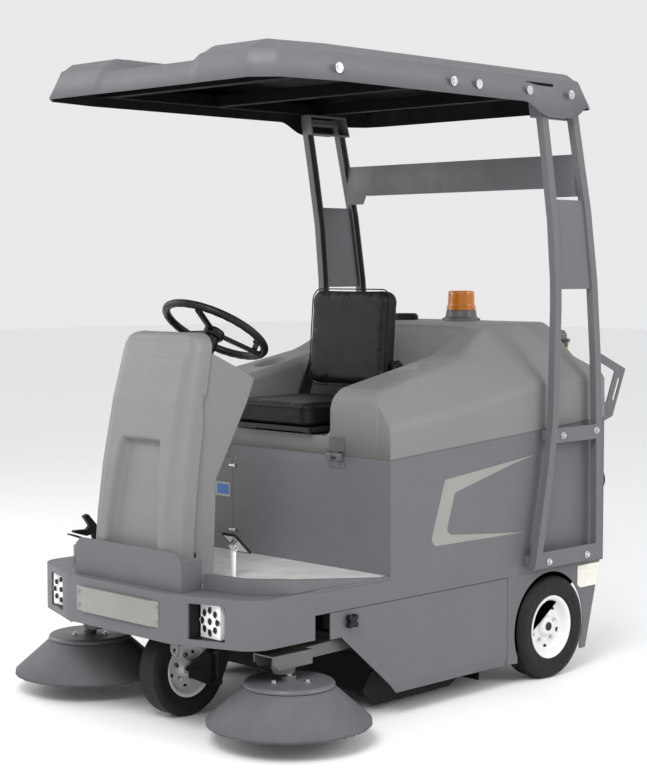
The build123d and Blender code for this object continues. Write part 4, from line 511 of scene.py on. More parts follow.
def evenly(points, count):
    """count points evenly spaced along a run of points."""
    lengths = np.concatenate([[0], np.cumsum(np.hypot(*np.diff(points, axis=0).T))])
    wanted = np.linspace(0, lengths[-1], count)
    return np.stack([np.interp(wanted, lengths, points[:, k]) for k in (0, 1)], axis=1)


def rounded_run(corners, count, radius=0.020):
    """The run of corners with each one rounded by a fixed radius, as count points evenly spaced."""
    points = np.array(corners, float)
    run = [points[0]]
    for before, corner, after in zip(points, points[1:], points[2:]):
        into, out = before - corner, after - corner
        cut = min(radius, 0.45 * np.hypot(*into), 0.45 * np.hypot(*out))
        start = corner + into * cut / max(np.hypot(*into), 1e-6)
        end = corner + out * cut / max(np.hypot(*out), 1e-6)
        for t in np.linspace(0, 1, 7):
            run.append(start * (1 - t) ** 2 + 2 * corner * t * (1 - t) + end * t ** 2)
    return evenly(np.array(run + [points[-1]]), count)


print("middle section", [tuple(np.round(c, 3)) for c in cover_section(-0.5)])

# %% [markdown]
# Each row of the grid is moved onto its section, and the cups are pressed in where they sit.
# The front and rear edges are then extruded down to the seam, so the shell is closed there.

# %% The cover itself
HALF_POINTS = 140
COVER_ROWS = 170


def cover_mesh():
    bm = bmesh.new()
    bmesh.ops.create_grid(bm, x_segments=2 * HALF_POINTS, y_segments=COVER_ROWS, size=1)
    rows = np.linspace(BODY_FRONT, BODY_REAR, COVER_ROWS + 1)
    runs = [rounded_run(cover_section(d), HALF_POINTS + 1) for d in rows]
    for vert in bm.verts:
        across = round(abs(vert.co.x) * HALF_POINTS)
        row = round((vert.co.y + 1) / 2 * COVER_ROWS)
        x, z = runs[row][HALF_POINTS - across]
        vert.co = (x if vert.co.x > 0 else -x, along(rows[row]), z)
    for vert in bm.verts:
        reach = ((abs(vert.co.x) - CUP_X) / 0.038) ** 2 + ((vert.co.y - along(CUP_Y)) / 0.062) ** 2
        if reach < 1.15 and vert.co.z > CUP_Z:
            depth = min(1.0, max(0.0, (1.15 - reach) / 0.22))
            vert.co.z += (CUP_Z + 0.002 - vert.co.z) * depth * depth * (3 - 2 * depth)
    inner = [v for v in bm.verts if not v.is_boundary]
    bmesh.ops.smooth_vert(bm, verts=inner, factor=0.3, use_axis_x=True, use_axis_y=True, use_axis_z=True)
    return bm


def close_end(bm, d, seam):
    """Closes the cover's front or rear with a wall down to the seam."""
    rim = [e for e in bm.edges if e.is_boundary and all(abs(v.co.y - along(d)) < 1e-4 for v in e.verts)]
    made = bmesh.ops.extrude_edge_only(bm, edges=rim)["geom"]
    for vert in verts_of(made):
        vert.co.z = seam


cover_bm = cover_mesh()
close_end(cover_bm, BODY_FRONT, SEAM_FRONT + 0.0004)
close_end(cover_bm, BODY_REAR, SEAM_REAR + 0.0004)
bmesh.ops.remove_doubles(cover_bm, verts=cover_bm.verts, dist=1e-4)
bmesh.ops.recalc_face_normals(cover_bm, faces=cover_bm.faces)
if sum(f.normal.z for f in cover_bm.faces) < 0:
    bmesh.ops.reverse_faces(cover_bm, faces=cover_bm.faces)
cover = piece("cover_moulding", cover_bm, moulding, "cover", "grey_plastic", "tank_cover", flat_over=50)
wall = cover.modifiers.new("wall", "SOLIDIFY")
wall.thickness = 0.006
wall.offset = -1
print("cover", len(cover.data.polygons), "faces")

# %% [markdown]
# On the hump stand the beacon and, beside it, the filler cap. The beacon is a stepped foot
# with a ribbed amber lens. Everything on it is round, so profiles are spun.

# %% Beacon
HUMP_TOP = 1.214
BEACON_AT = (0.0, along(0.128), 0.0)
foot_profile = [(0.0, HUMP_TOP + 0.0375), (0.052, HUMP_TOP + 0.0375), (0.054, HUMP_TOP + 0.034),
                (0.057, HUMP_TOP + 0.014), (0.063, HUMP_TOP + 0.009), (0.069, HUMP_TOP + 0.007),
                (0.070, HUMP_TOP + 0.001), (0.067, HUMP_TOP - 0.002)]
piece("beacon_foot", spun(foot_profile, BEACON_AT, (0, 0, 1)), hub_plate, "cover", "grey_plastic")
lens_profile = [(0.0, HUMP_TOP + 0.038), (0.0535, HUMP_TOP + 0.038), (0.0535, HUMP_TOP + 0.051),
                (0.050, HUMP_TOP + 0.053)]
for rib in range(5):
    low = HUMP_TOP + 0.056 + 0.009 * rib
    lens_profile += [(0.0500 - 0.0004 * rib, low), (0.0484 - 0.0004 * rib, low + 0.0055)]
lens_profile += [(0.0478, HUMP_TOP + 0.102), (0.0445, HUMP_TOP + 0.1065), (0.030, HUMP_TOP + 0.1078),
                 (0.0, HUMP_TOP + 0.108)]
lens = piece("beacon_lens_ribbed", spun(lens_profile, BEACON_AT, (0, 0, 1), 72), amber, "cover", "amber_lens",
             "beacon_lens", flat_over=50)
print("beacon", len(lens.data.polygons), "faces")

# %% [markdown]
# Four nozzles hang from a thin bar across the rear. Each is a hexagon with a round tip, and
# both are short bars from the same helper.

# %% Brass nozzles on the spray bar
nozzle_bm = bmesh.new()
for x in (-0.390, -0.130, 0.130, 0.390):
    top = Vector((x, along(0.246), 1.1415))
    bar(nozzle_bm, top, top + Vector((0, 0, -0.016)), 0.0066, 6)
    bar(nozzle_bm, top + Vector((0, 0, -0.014)), top + Vector((0, 0, -0.0345)), 0.0046, 20)
nozzles = piece("spray_nozzles", nozzle_bm, brass, "cover", "blue_panel", flat_over=30)
print("nozzles", len(nozzles.data.polygons), "faces")

# %% [markdown]
# The console's front shell is one sheet wrapped round three sides. Its cross section is a U
# that narrows and leans back as it rises, and closes over the top. A grid is bent into that:
# one direction runs round the U, the other goes up. Its face has a raised field above and a
# sunk pocket below, which are pushed out and in along the sheet.

# %% The console's front shell
SHELL_HEIGHTS = [0.447, 0.640, 0.798, 1.000, 1.150, 1.172, 1.190, 1.200, 1.205, 1.207]
SHELL_HALF = [0.204, 0.201, 0.198, 0.1925, 0.1875, 0.185, 0.174, 0.160, 0.145, 0.125]
SHELL_FRONT = [-1.427, -1.412, -1.392, -1.353, -1.313, -1.306, -1.299, -1.290, -1.278, -1.262]
SHELL_BACK = [-1.345, -1.329, -1.310, -1.277, -1.249, -1.2445, -1.2430, -1.242, -1.242, -1.242]
CORNER = 0.040
ROUND_POINTS = 150
RISE_POINTS = 150


def u_section(half, front, back):
    """The U from the back edge on one side, round both corners, to the other back edge."""
    radius = min(CORNER, (back - front) * 0.8)
    points = [(-half, back), (-half, front + radius)]
    turns = [pi + pi / 2 * k / 8 for k in range(1, 9)]
    points += [(-half + radius + radius * cos(a), front + radius + radius * sin(a)) for a in turns]
    return np.array(points + [(-x, y) for x, y in reversed(points)])


def step_up(value, start, width):
    """0 before start, 1 after start + width, smooth between."""
    t = min(1.0, max(0.0, (value - start) / width))
    return t * t * (3 - 2 * t)


def face_relief(x, z, half):
    """How far the shell's face is pushed back at (x, z): the field stands proud, the pocket is sunk."""
    side = half - abs(x)
    field = step_up(side, 0.036, 0.014) * step_up(1.140 - z, 0, 0.014)
    pocket_half = 0.098 + 0.10 * (0.890 - z)
    pocket = step_up(pocket_half - abs(x), 0, 0.024) * step_up(0.890 - z, 0, 0.026)
    return 0.006 * (1 - field) + 0.027 * pocket


def console_shell():
    bm = bmesh.new()
    bmesh.ops.create_grid(bm, x_segments=ROUND_POINTS, y_segments=RISE_POINTS, size=1)
    levels = np.interp(np.linspace(0, 1, RISE_POINTS + 1), [0, 0.86, 1], [0.447, 1.165, 1.207])
    sections = []
    for z in levels:
        half, front, back = [np.interp(z, SHELL_HEIGHTS, values)
                             for values in (SHELL_HALF, SHELL_FRONT, SHELL_BACK)]
        sections.append((evenly(u_section(half, front, back), ROUND_POINTS + 1), half, front, back))
    for vert in bm.verts:
        column = round((vert.co.x + 1) / 2 * ROUND_POINTS)
        row = round((vert.co.y + 1) / 2 * RISE_POINTS)
        points, half, front, back = sections[row]
        x, y = points[column]
        z = levels[row]
        facing = step_up(front + 0.03 - y, 0, 0.025)
        y += face_relief(x, z, half) * facing * step_up(1.204 - z, 0, 0.035)
        grip = step_up(y, -1.290, 0.008) * step_up(-1.246 - y, 0, 0.006)
        grip *= step_up(z, 0.905, 0.05) * step_up(1.030 - z, 0, 0.03)
        x -= 0.007 * grip * (1 if x > 0 else -1)
        vert.co = (x, along(y), z)
    bmesh.ops.recalc_face_normals(bm, faces=bm.faces)
    return bm


shell_bm = console_shell()
if sum(f.normal.y * f.calc_area() for f in shell_bm.faces) > 0:
    bmesh.ops.reverse_faces(shell_bm, faces=shell_bm.faces)
shell = piece("console_shell", shell_bm, moulding, "machine", "grey_plastic", "console_front", flat_over=60)
shell_wall = shell.modifiers.new("wall", "SOLIDIFY")
shell_wall.thickness = 0.004
shell_wall.offset = -1
print("console shell", len(shell.data.polygons), "faces")

# %% [markdown]
# Behind the shell the console has a second moulding with flat sides, which carries the column.
# Its side outline is drawn once as a face and extruded across, and a bevel eases the edges.
# Two narrow strips finish the tread plate beside it, and a screw head sits low on each side.

# %% The console's rear part and the floor beside it
REAR_HALF = 0.1815
REAR_OUTLINE = [(-1.362, 0.447), (-1.240, 0.447), (-1.227, 0.760), (-1.171, 0.858), (-1.097, 0.991),
                (-1.067, 1.060), (-1.101, 1.082), (-1.246, 1.148), (-1.262, 1.148), (-1.327, 0.798)]
rear_bm = bmesh.new()
side_face = rear_bm.faces.new([rear_bm.verts.new((-REAR_HALF, along(d), z)) for d, z in REAR_OUTLINE])
made = bmesh.ops.extrude_face_region(rear_bm, geom=[side_face])["geom"]
bmesh.ops.translate(rear_bm, vec=(2 * REAR_HALF, 0, 0), verts=verts_of(made))
bmesh.ops.recalc_face_normals(rear_bm, faces=rear_bm.faces)
console_back = piece("console_back", rear_bm, moulding, "machine", SLOT_OF["console_rear"], "console_rear",
                     flat_over=30)
add_bevel(console_back, 0.004, 3)
edge_bm = bmesh.new()
for x in (-0.2255, 0.2255):
    block(edge_bm, (0.053, 0.0645, 0.003), (x, along(-1.3140), 0.4485))
piece("tread_edges", edge_bm, tread_metal, "machine", SLOT_OF["floor_tread"], smooth=False)
screw_bm = bmesh.new()
for x in (-REAR_HALF, REAR_HALF):
    bar(screw_bm, (x - 0.0015, along(-1.320), 0.538), (x + 0.0015, along(-1.320), 0.538), 0.009, 24)
piece("console_screws", screw_bm, black_plastic, "machine", SLOT_OF["console_rear"], flat_over=30)
print("console back", len(console_back.data.polygons), "faces")

# %% [markdown]
# The roof is a thin moulded shell too. A grid is fitted to its outline row by row, so the
# cut corners come by themselves, and each point's height depends on how far in from the edge
# it is: a skirt, a slope, then a nearly flat top with a lower valley at the front. The skirt
# is the grid's rim extruded down.

# %% The roof
outline_d = [-1.360, -1.300, -1.100, 0.110, 0.180, 0.200]
outline_half = [0.470, 0.540, 0.578, 0.578, 0.530, 0.440]
ROOF_COLUMNS, ROOF_ROWS = 120, 160
ROOF_CREASE, ROOF_TOP, ROOF_RIM, VALLEY_FLOOR = 2.032, 2.060, 1.945, 2.014
SLOPE_IN, LEAN = 0.060, 0.030
ROOF_FRONT, ROOF_REAR, ROOF_LENGTH = -1.360, 0.200, 1.560


def roof_height(x, d, half):
    """Height of the roof at x, d metres behind the axle, inside a half width."""
    inward = min(half - abs(x), (d - ROOF_FRONT - LEAN) * 0.9, (ROOF_REAR - LEAN - d) * 1.2)
    top = ROOF_CREASE + (ROOF_TOP - ROOF_CREASE) * step_up(inward, 0.0, SLOPE_IN)
    valley = step_up(0.235 - abs(x), 0, 0.040) * step_up(-0.760 - d, 0, 0.06)
    return top - valley * max(0.0, top - VALLEY_FLOOR)


def roof_mesh():
    bm = bmesh.new()
    bmesh.ops.create_grid(bm, x_segments=ROOF_COLUMNS, y_segments=ROOF_ROWS, size=1)
    for vert in bm.verts:
        u, v = vert.co.x, (vert.co.y + 1) / 2
        d_out = ROOF_FRONT + v * ROOF_LENGTH
        d_in = ROOF_FRONT + LEAN + v * (ROOF_LENGTH - 2 * LEAN)
        half = np.interp(d_out, outline_d, outline_half)
        vert.co = (u * (half - LEAN), along(d_in), roof_height(u * (half - LEAN), d_in, half - LEAN))
    rim = [e for e in bm.edges if e.is_boundary]
    made = bmesh.ops.extrude_edge_only(bm, edges=rim)["geom"]
    for vert in verts_of(made):
        v = (vert.co.y - AXLE_Y - ROOF_FRONT - LEAN) / (ROOF_LENGTH - 2 * LEAN)
        d = ROOF_FRONT + v * ROOF_LENGTH
        half = np.interp(d, outline_d, outline_half)
        x = vert.co.x * half / (half - LEAN)
        lobe = step_up(d, -0.235, 0.12) * step_up(0.110 - d, 0, 0.09) * step_up(abs(x), 0.570, 0.004)
        vert.co = (x, along(d), ROOF_RIM - 0.042 * lobe)
    bmesh.ops.recalc_face_normals(bm, faces=bm.faces)
    if sum(f.normal.z * f.calc_area() for f in bm.faces) < 0:
        bmesh.ops.reverse_faces(bm, faces=bm.faces)
    creases = [e for e in bm.edges if len(e.link_faces) == 2 and e.calc_face_angle() > radians(40)]
    round_off(bm, creases, 0.006, 3)
    return bm


roof = piece("roof_shell", roof_mesh(), roof_grey, "machine", SLOT_OF["canopy"], "canopy", flat_over=30)
# The roof's inner side gets the near-black painted shade.
roof.data.materials.append(under_roof_shade)
roof_wall = roof.modifiers.new("wall", "SOLIDIFY")
roof_wall.thickness = 0.006
roof_wall.offset = -1
roof_wall.material_offset = 1
print("roof", len(roof.data.polygons), "faces")

# %% [markdown]
# The seat has two padded parts. Each starts as a slightly small block, is remeshed evenly
# and then blown up with cloth pressure, so its faces crown and its sides pull in at the
# corners. A cap keeps the swelling within the room the frame leaves. A raised welt then runs
# round each pad where the top panel is sewn to the sides.

# %% Swelling a pad
def swell(obj, voxel, most):
    """Remeshes a pad, swells it as cloth under pressure and keeps each point within most of its start."""
    remesh = obj.modifiers.new("even mesh", "REMESH")
    remesh.voxel_size = voxel
    bpy.context.view_layer.update()
    even = bpy.data.meshes.new_from_object(obj.evaluated_get(bpy.context.evaluated_depsgraph_get()))
    obj.modifiers.clear()
    obj.data = even
    start = np.array([v.co for v in even.vertices])
    cloth = obj.modifiers.new("cloth", "CLOTH")
    cloth.settings.use_pressure = True
    cloth.settings.uniform_pressure_force = 4
    cloth.settings.effector_weights.gravity = 0
    cloth.settings.tension_stiffness = 30
    cloth.point_cache.frame_end = 20
    scene = bpy.context.scene
    for step in range(1, 21):
        scene.frame_set(step)
    blown = bpy.data.meshes.new_from_object(obj.evaluated_get(bpy.context.evaluated_depsgraph_get()))
    moved = np.array([v.co for v in blown.vertices]) - start
    length = np.linalg.norm(moved, axis=1, keepdims=True)
    moved *= np.minimum(1.0, most / np.maximum(length, 1e-9))
    obj.modifiers.clear()
    scene.frame_set(1)
    even.vertices.foreach_set("co", (start + moved).ravel())
    even.polygons.foreach_set("use_smooth", [True] * len(even.polygons))
    even.update()
    print(obj.name, len(even.vertices), "points", "largest move", round(most, 4))


def pad_block(size, corner, edge):
    """A bmesh block lying at the origin with upright corners rounded by corner and rims by edge."""
    bm = bmesh.new()
    block(bm, size, (0, 0, 0))
    upright = [e for e in bm.edges if abs((e.verts[0].co - e.verts[1].co).z) > size[2] * 0.9]
    round_off(bm, upright, corner, 8)
    rims = [e for e in bm.edges if len(e.link_faces) == 2 and e.calc_face_angle() > radians(60)]
    round_off(bm, rims, edge, 4)
    return bm


# %% [markdown]
# The cushion fills the place of its CAD solid less a few millimetres, and the backrest leans
# back a little on its pivots. Both are the same pad with other sizes.

# %% Cushion and backrest
def pad(name, size, corner, edge, matrix, body, node, most):
    bm = pad_block(size, corner, edge)
    bmesh.ops.transform(bm, matrix=matrix, verts=bm.verts)
    obj = piece(name, bm, vinyl, body, "black_vinyl", node)
    swell(obj, 0.005, most)
    obj.data.materials.clear()
    obj.data.materials.append(vinyl)
    smooth = obj.modifiers.new("soft", "SUBSURF")
    smooth.levels = 1
    smooth.render_levels = 1
    return obj


cushion_low, cushion_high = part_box("seat_cushion")
cushion_centre = [(a + b) / 2 for a, b in zip(cushion_low, cushion_high)]
cushion_size = [b - a - shy for a, b, shy in zip(cushion_low, cushion_high, (0.012, 0.012, 0.012))]
pad("cushion", cushion_size, 0.034, 0.014, Matrix.Translation(cushion_centre), "seat",
    "seat_cushion", 0.006)

BACK_TILT = radians(4.2)
BACK_HALF, BACK_TOP = 0.188, 1.336
back_pivot = Vector((0, along(-0.436), 1.078))
back_turn = Matrix.Rotation(pi / 2 - BACK_TILT, 4, "X")
back_height = BACK_TOP - back_pivot.z + 0.084
back_centre = back_pivot + back_turn @ Vector((0, (BACK_TOP - back_pivot.z - 0.084) / 2, 0.013))
pad("backrest", (2 * BACK_HALF - 0.010, back_height - 0.014, 0.054), 0.040, 0.012,
    Matrix.Translation(back_centre) @ back_turn, "seat_back", "seat_backrest", 0.006)

# %% [markdown]
# A welt is a thin cord sewn in a seam. Here a closed curve with a bevel is turned into a mesh.
# The backrest's pivots and its backing plate are bars and a block.

# %% Welts and the backrest's hardware
def welt(name, half_x, half_y, corner, matrix, body):
    """A thin sewn welt round a pad's rim, as a bar bent round a rounded rectangle."""
    curve = bpy.data.curves.new(name, "CURVE")
    curve.dimensions = "3D"
    curve.bevel_depth = 0.0021
    curve.bevel_resolution = 3
    spline = curve.splines.new("POLY")
    points = []
    for quarter in range(4):
        cx = (half_x - corner) * (1, -1, -1, 1)[quarter]
        cy = (half_y - corner) * (1, 1, -1, -1)[quarter]
        for k in range(9):
            turn = pi / 2 * (quarter + k / 8)
            points.append(matrix @ Vector((cx + corner * cos(turn), cy + corner * sin(turn), 0)))
    spline.points.add(len(points) - 1)
    for point, place in zip(spline.points, points):
        point.co = (*place, 1)
    spline.use_cyclic_u = True
    temporary = bpy.data.objects.new(name, curve)
    bpy.context.scene.collection.objects.link(temporary)
    mesh = bpy.data.meshes.new_from_object(temporary)
    bpy.data.objects.remove(temporary)
    bm = bmesh.new()
    bm.from_mesh(mesh)
    return piece(name, bm, vinyl, body, "black_vinyl")


welt("cushion_welt", cushion_size[0] / 2 + 0.0015, cushion_size[1] / 2 + 0.0015, 0.034,
     Matrix.Translation((0, cushion_centre[1], cushion_high[2] - 0.016)), "seat")
welt("backrest_welt", BACK_HALF - 0.0045, back_height / 2 - 0.006, 0.040,
     Matrix.Translation(back_centre) @ back_turn @ Matrix.Translation((0, 0, 0.018)), "seat_back")
hardware_bm = bmesh.new()
for side in (-1, 1):
    pivot_in = back_pivot + Vector((side * BACK_HALF, 0, 0))
    bar(hardware_bm, pivot_in, back_pivot + Vector((side * 0.1975, 0, 0)), 0.016, 32)
    bar(hardware_bm, pivot_in, back_pivot + Vector((side * 0.212, 0, 0)), 0.006, 20)
block(hardware_bm, (0.316, 0.260, 0.006), back_pivot + back_turn @ Vector((0, 0.06, -0.023)), back_turn)
piece("backrest_hardware", hardware_bm, frame_black, "seat_back", "black_vinyl", flat_over=30)
print("seat pads made")

# %% [markdown]
# Tyres and rims are turned shapes. The rear tyre has four grooves round its tread and raised bands on its
# sides; the rim is a stepped dish with wheel bolts, and its round holes are dark discs of painted shade. Both
# sides come from one profile, mirrored by the axis the profile is spun about.

# %% Tyres
def tyre_profile(radius, width, rim_radius, grooves):
    """Closed (radius, height) profile of a tyre, its height along the axle."""
    half = width / 2
    points = [(rim_radius + 0.001, -half * 0.62), (rim_radius + 0.006, -half * 0.80),
              (rim_radius + 0.014, -half * 0.90), (rim_radius + 0.018, -half * 0.885),
              (radius * 0.80, -half * 0.98), (radius * 0.83, -half * 0.995), (radius * 0.86, -half * 0.985),
              (radius - 0.014, -half * 0.95), (radius - 0.005, -half * 0.84)]
    tread = [(radius - 0.0012, -half * 0.72)]
    for k in range(grooves):
        middle = half * (-0.5 + (k + 0.5) / grooves) * 1.1
        tread += [(radius, middle - 0.0032), (radius - 0.005, middle - 0.0018),
                  (radius - 0.005, middle + 0.0018), (radius, middle + 0.0032)]
    points += tread + [(r, -h) for r, h in reversed(points + tread[:1])]
    return points + [points[0]]


REAR_R, FRONT_R = 0.176, 0.1495
REAR_AT = {"left": (0.480, along(0), REAR_R), "right": (-0.480, along(0), REAR_R)}
FRONT_AT = (0.0, along(-1.211), FRONT_R)
for side, place in REAR_AT.items():
    out = (1, 0, 0) if side == "left" else (-1, 0, 0)
    made = piece("tyre_rear_" + side, spun(tyre_profile(REAR_R, 0.100, 0.103, 4), place, out, 128), rubber,
                 "rear_wheel_" + side, "tyre_rubber", "rear_tyre_" + side, flat_over=28)
front = piece("tyre_front", spun(tyre_profile(FRONT_R, 0.088, 0.084, 0), FRONT_AT, (1, 0, 0), 128), rubber,
              "front_wheel", "tyre_rubber", "front_tyre", flat_over=28)
print("tyres", len(made.data.polygons), "faces each")

# %% [markdown]
# A rim is one spun profile: bore, hub, dish, flange and back again. Wheel bolts and dark round discs of
# painted shade, which stand in for the shade in the dish's openings, are set in a ring on its face.

# %% Rims
def dish_profile(rim_radius, half, hub_radius, bore, face):
    """Profile of a rim: outer flange, well, dish at height face, hub and bore."""
    return [(bore, -half * 0.7), (bore, face + 0.016), (hub_radius * 0.72, face + 0.018),
            (hub_radius, face + 0.010), (hub_radius + 0.004, face + 0.002), (rim_radius * 0.62, face),
            (rim_radius * 0.78, face + 0.004), (rim_radius * 0.86, face + 0.012),
            (rim_radius * 0.90, half * 0.70), (rim_radius * 0.95, half * 0.80),
            (rim_radius + 0.004, half * 0.84), (rim_radius + 0.0055, half * 0.80),
            (rim_radius + 0.0005, half * 0.62), (rim_radius + 0.0005, -half * 0.62),
            (rim_radius + 0.0055, -half * 0.80), (rim_radius + 0.004, -half * 0.84),
            (rim_radius * 0.93, -half * 0.76), (rim_radius * 0.88, face - 0.010),
            (rim_radius * 0.60, face - 0.006), (hub_radius, face - 0.007), (hub_radius * 0.9, -half * 0.7),
            (bore, -half * 0.7)]


def rim(name, place, out, rim_radius, half, hub_radius, bore, face, body, node, bolts, ring):
    bm = spun(dish_profile(rim_radius, half, hub_radius, bore, face), place, out, 96)
    made = piece(name, bm, white_rim, body, "white_rim", node, flat_over=35)
    turn = Vector(out).to_track_quat("Z", "X").to_matrix()
    bolt_bm = bmesh.new()
    hole_shade_bm = bmesh.new()
    for k in range(bolts):
        angle = 2 * pi * k / bolts
        spoke = turn @ Vector((ring * cos(angle), ring * sin(angle), 0))
        base = Vector(place) + spoke + turn @ Vector((0, 0, face))
        bar(bolt_bm, base, base + turn @ Vector((0, 0, 0.004)), 0.0085, 24)
        bar(bolt_bm, base, base + turn @ Vector((0, 0, 0.011)), 0.0058, 6)
        # Painted shade: a dark disc sits on the dish's face where each round hole would show shade.
        angle += pi / bolts
        spoke = turn @ Vector((rim_radius * 0.70 * cos(angle), rim_radius * 0.70 * sin(angle), 0))
        base = Vector(place) + spoke + turn @ Vector((0, 0, face + 0.0006))
        bar(hole_shade_bm, base, base + turn @ Vector((0, 0, 0.0018)), rim_radius * 0.085, 28)
    piece(name + "_bolts", bolt_bm, steel, body, "white_rim", flat_over=30)
    piece(name + "_painted_hole_shade", hole_shade_bm, black_plastic, body, "white_rim", flat_over=30)
    return made


for side, place in REAR_AT.items():
    out = (1, 0, 0) if side == "left" else (-1, 0, 0)
    rear_rim = rim("rim_rear_" + side, place, out, 0.103, 0.050, 0.034, 0.01405, 0.012,
                   "rear_wheel_" + side, "rear_rim_" + side, 5, 0.052)
rim("rim_front", FRONT_AT, (1, 0, 0), 0.084, 0.044, 0.026, 0.00905, 0.008, "front_wheel", "front_rim",
    5, 0.040)
print("rims", len(rear_rim.data.polygons), "faces each")

# %% [markdown]
# The side brooms are flared skirts of nylon set in round plates. A smooth inner skirt stops the
# view through, and hundreds of slim tufts stand round it: each tuft is a tapered four-sided
# bar, slightly splayed and of slightly different length, so the rim looks cut, not turned.

# %% Side brooms
BROOM_R, BROOM_LOW, BROOM_HIGH, PLATE_R = 0.250, 0.058, 0.188, 0.137
TUFTS = 420
tuft_luck = np.random.default_rng(7)


def tuft(bm, low, high, thick):
    """A four-sided tapered bar of bristles from high to low."""
    a, b = Vector(high), Vector(low)
    turn = (b - a).to_track_quat("Z", "X").to_matrix().to_4x4()
    bmesh.ops.create_cone(bm, cap_ends=True, segments=4, radius1=thick * 0.6, radius2=thick,
                          depth=(b - a).length, matrix=Matrix.Translation((a + b) / 2) @ turn)


def broom(side, x):
    centre = Vector((x, along(-1.208), 0))
    skirt = [(PLATE_R - 0.060, BROOM_HIGH - 0.031), (PLATE_R - 0.021, BROOM_HIGH - 0.0225),
             (PLATE_R - 0.003, BROOM_HIGH - 0.0155), (BROOM_R - 0.0035, BROOM_LOW + 0.014),
             (BROOM_R - 0.005, BROOM_LOW + 0.006), (BROOM_R - 0.014, BROOM_LOW + 0.002),
             (BROOM_R - 0.032, BROOM_LOW + 0.002),
             (PLATE_R - 0.060, BROOM_HIGH - 0.031)]
    bm = spun(skirt, centre, (0, 0, 1), 96)
    for k in range(TUFTS):
        angle = 2 * pi * (k + 0.3 * tuft_luck.random()) / TUFTS
        low_angle = angle + 0.02 * (tuft_luck.random() - 0.5)
        reach = BROOM_R - 0.0030 - 0.003 * tuft_luck.random()
        low_z = BROOM_LOW + 0.002 + 0.004 * tuft_luck.random()
        top_r = PLATE_R - 0.004 - 0.002 * (k % 2)
        tuft(bm, centre + Vector((reach * cos(low_angle), reach * sin(low_angle), low_z)),
             centre + Vector((top_r * cos(angle), top_r * sin(angle), BROOM_HIGH - 0.017)), 0.0020)
    slot = SLOT_OF["side_broom_left"]
    piece("broom_bristles_" + side, bm, bristle, "broom_" + side, slot, "side_broom_" + side, flat_over=60)
    disc = [(0.0, BROOM_HIGH + 0.014), (0.020, BROOM_HIGH + 0.014), (0.022, BROOM_HIGH + 0.012),
            (0.022, BROOM_HIGH + 0.002), (0.026, BROOM_HIGH), (PLATE_R - 0.024, BROOM_HIGH),
            (PLATE_R - 0.008, BROOM_HIGH - 0.0005), (PLATE_R - 0.003, BROOM_HIGH - 0.003),
            (PLATE_R, BROOM_HIGH - 0.008), (PLATE_R, BROOM_HIGH - 0.013),
            (PLATE_R - 0.022, BROOM_HIGH - 0.0135), (PLATE_R - 0.022, BROOM_HIGH - 0.0215),
            (PLATE_R - 0.060, BROOM_HIGH - 0.0295), (0.0, BROOM_HIGH - 0.0295)]
    piece("broom_plate_" + side, spun(disc, centre, (0, 0, 1), 96), hub_plate, "broom_" + side, slot,
          flat_over=35)
    drive_bm = bmesh.new()
    bar(drive_bm, centre + Vector((0, 0, BROOM_HIGH + 0.013)), centre + Vector((0, 0, BROOM_HIGH + 0.044)),
        0.009, 32)
    for k in range(3):
        angle = 2 * pi * k / 3 + 0.4
        base = centre + Vector((0.058 * cos(angle), 0.058 * sin(angle), BROOM_HIGH - 0.001))
        bar(drive_bm, base, base + Vector((0, 0, 0.004)), 0.010, 24)
        bar(drive_bm, base, base + Vector((0, 0, 0.010)), 0.0065, 6)
    piece("broom_drive_" + side, drive_bm, steel, "broom_" + side, slot, flat_over=30)


for side, x in (("left", 0.479), ("right", -0.479)):
    broom(side, x)
print("side brooms with", TUFTS, "tufts each")

# %% [markdown]
# The main brush is a roller under the body. Its tufts run in a few spiralling rows round a
# core, which is how these rollers throw dirt back into the bin.

# %% Main brush
BRUSH_AT = Vector((0, along(-0.505), 0.152))
BRUSH_R, BRUSH_HALF = 0.1485, 0.368
brush_bm = bmesh.new()
bar(brush_bm, BRUSH_AT - Vector((BRUSH_HALF, 0, 0)), BRUSH_AT + Vector((BRUSH_HALF, 0, 0)), 0.060, 48)
bar(brush_bm, BRUSH_AT - Vector((0.418, 0, 0)), BRUSH_AT + Vector((0.396, 0, 0)), 0.0138, 24)
bar(brush_bm, BRUSH_AT - Vector((0.4155, 0, 0)), BRUSH_AT - Vector((0.4005, 0, 0)), 0.0598, 64)
for row in range(10):
    for k in range(46):
        x = -BRUSH_HALF + 0.012 + (2 * BRUSH_HALF - 0.024) * k / 45
        angle = 2 * pi * row / 10 + 1.6 * abs(x) / BRUSH_HALF
        out = Vector((0, cos(angle), sin(angle)))
        root = BRUSH_AT + Vector((x, 0, 0))
        tuft(brush_bm, root + out * (BRUSH_R - 0.002), root + out * 0.056, 0.0065)
main = piece("roller_brush", brush_bm, bristle, "brush", SLOT_OF["side_broom_left"], "main_brush",
             flat_over=45)
print("roller brush", len(main.data.polygons), "faces")

# %% [markdown]
# The hand wheel tilts with the column. Its rim is a torus whose back carries finger bumps;
# three flat spokes run to a stepped hub, and a small knob stands on one of them.

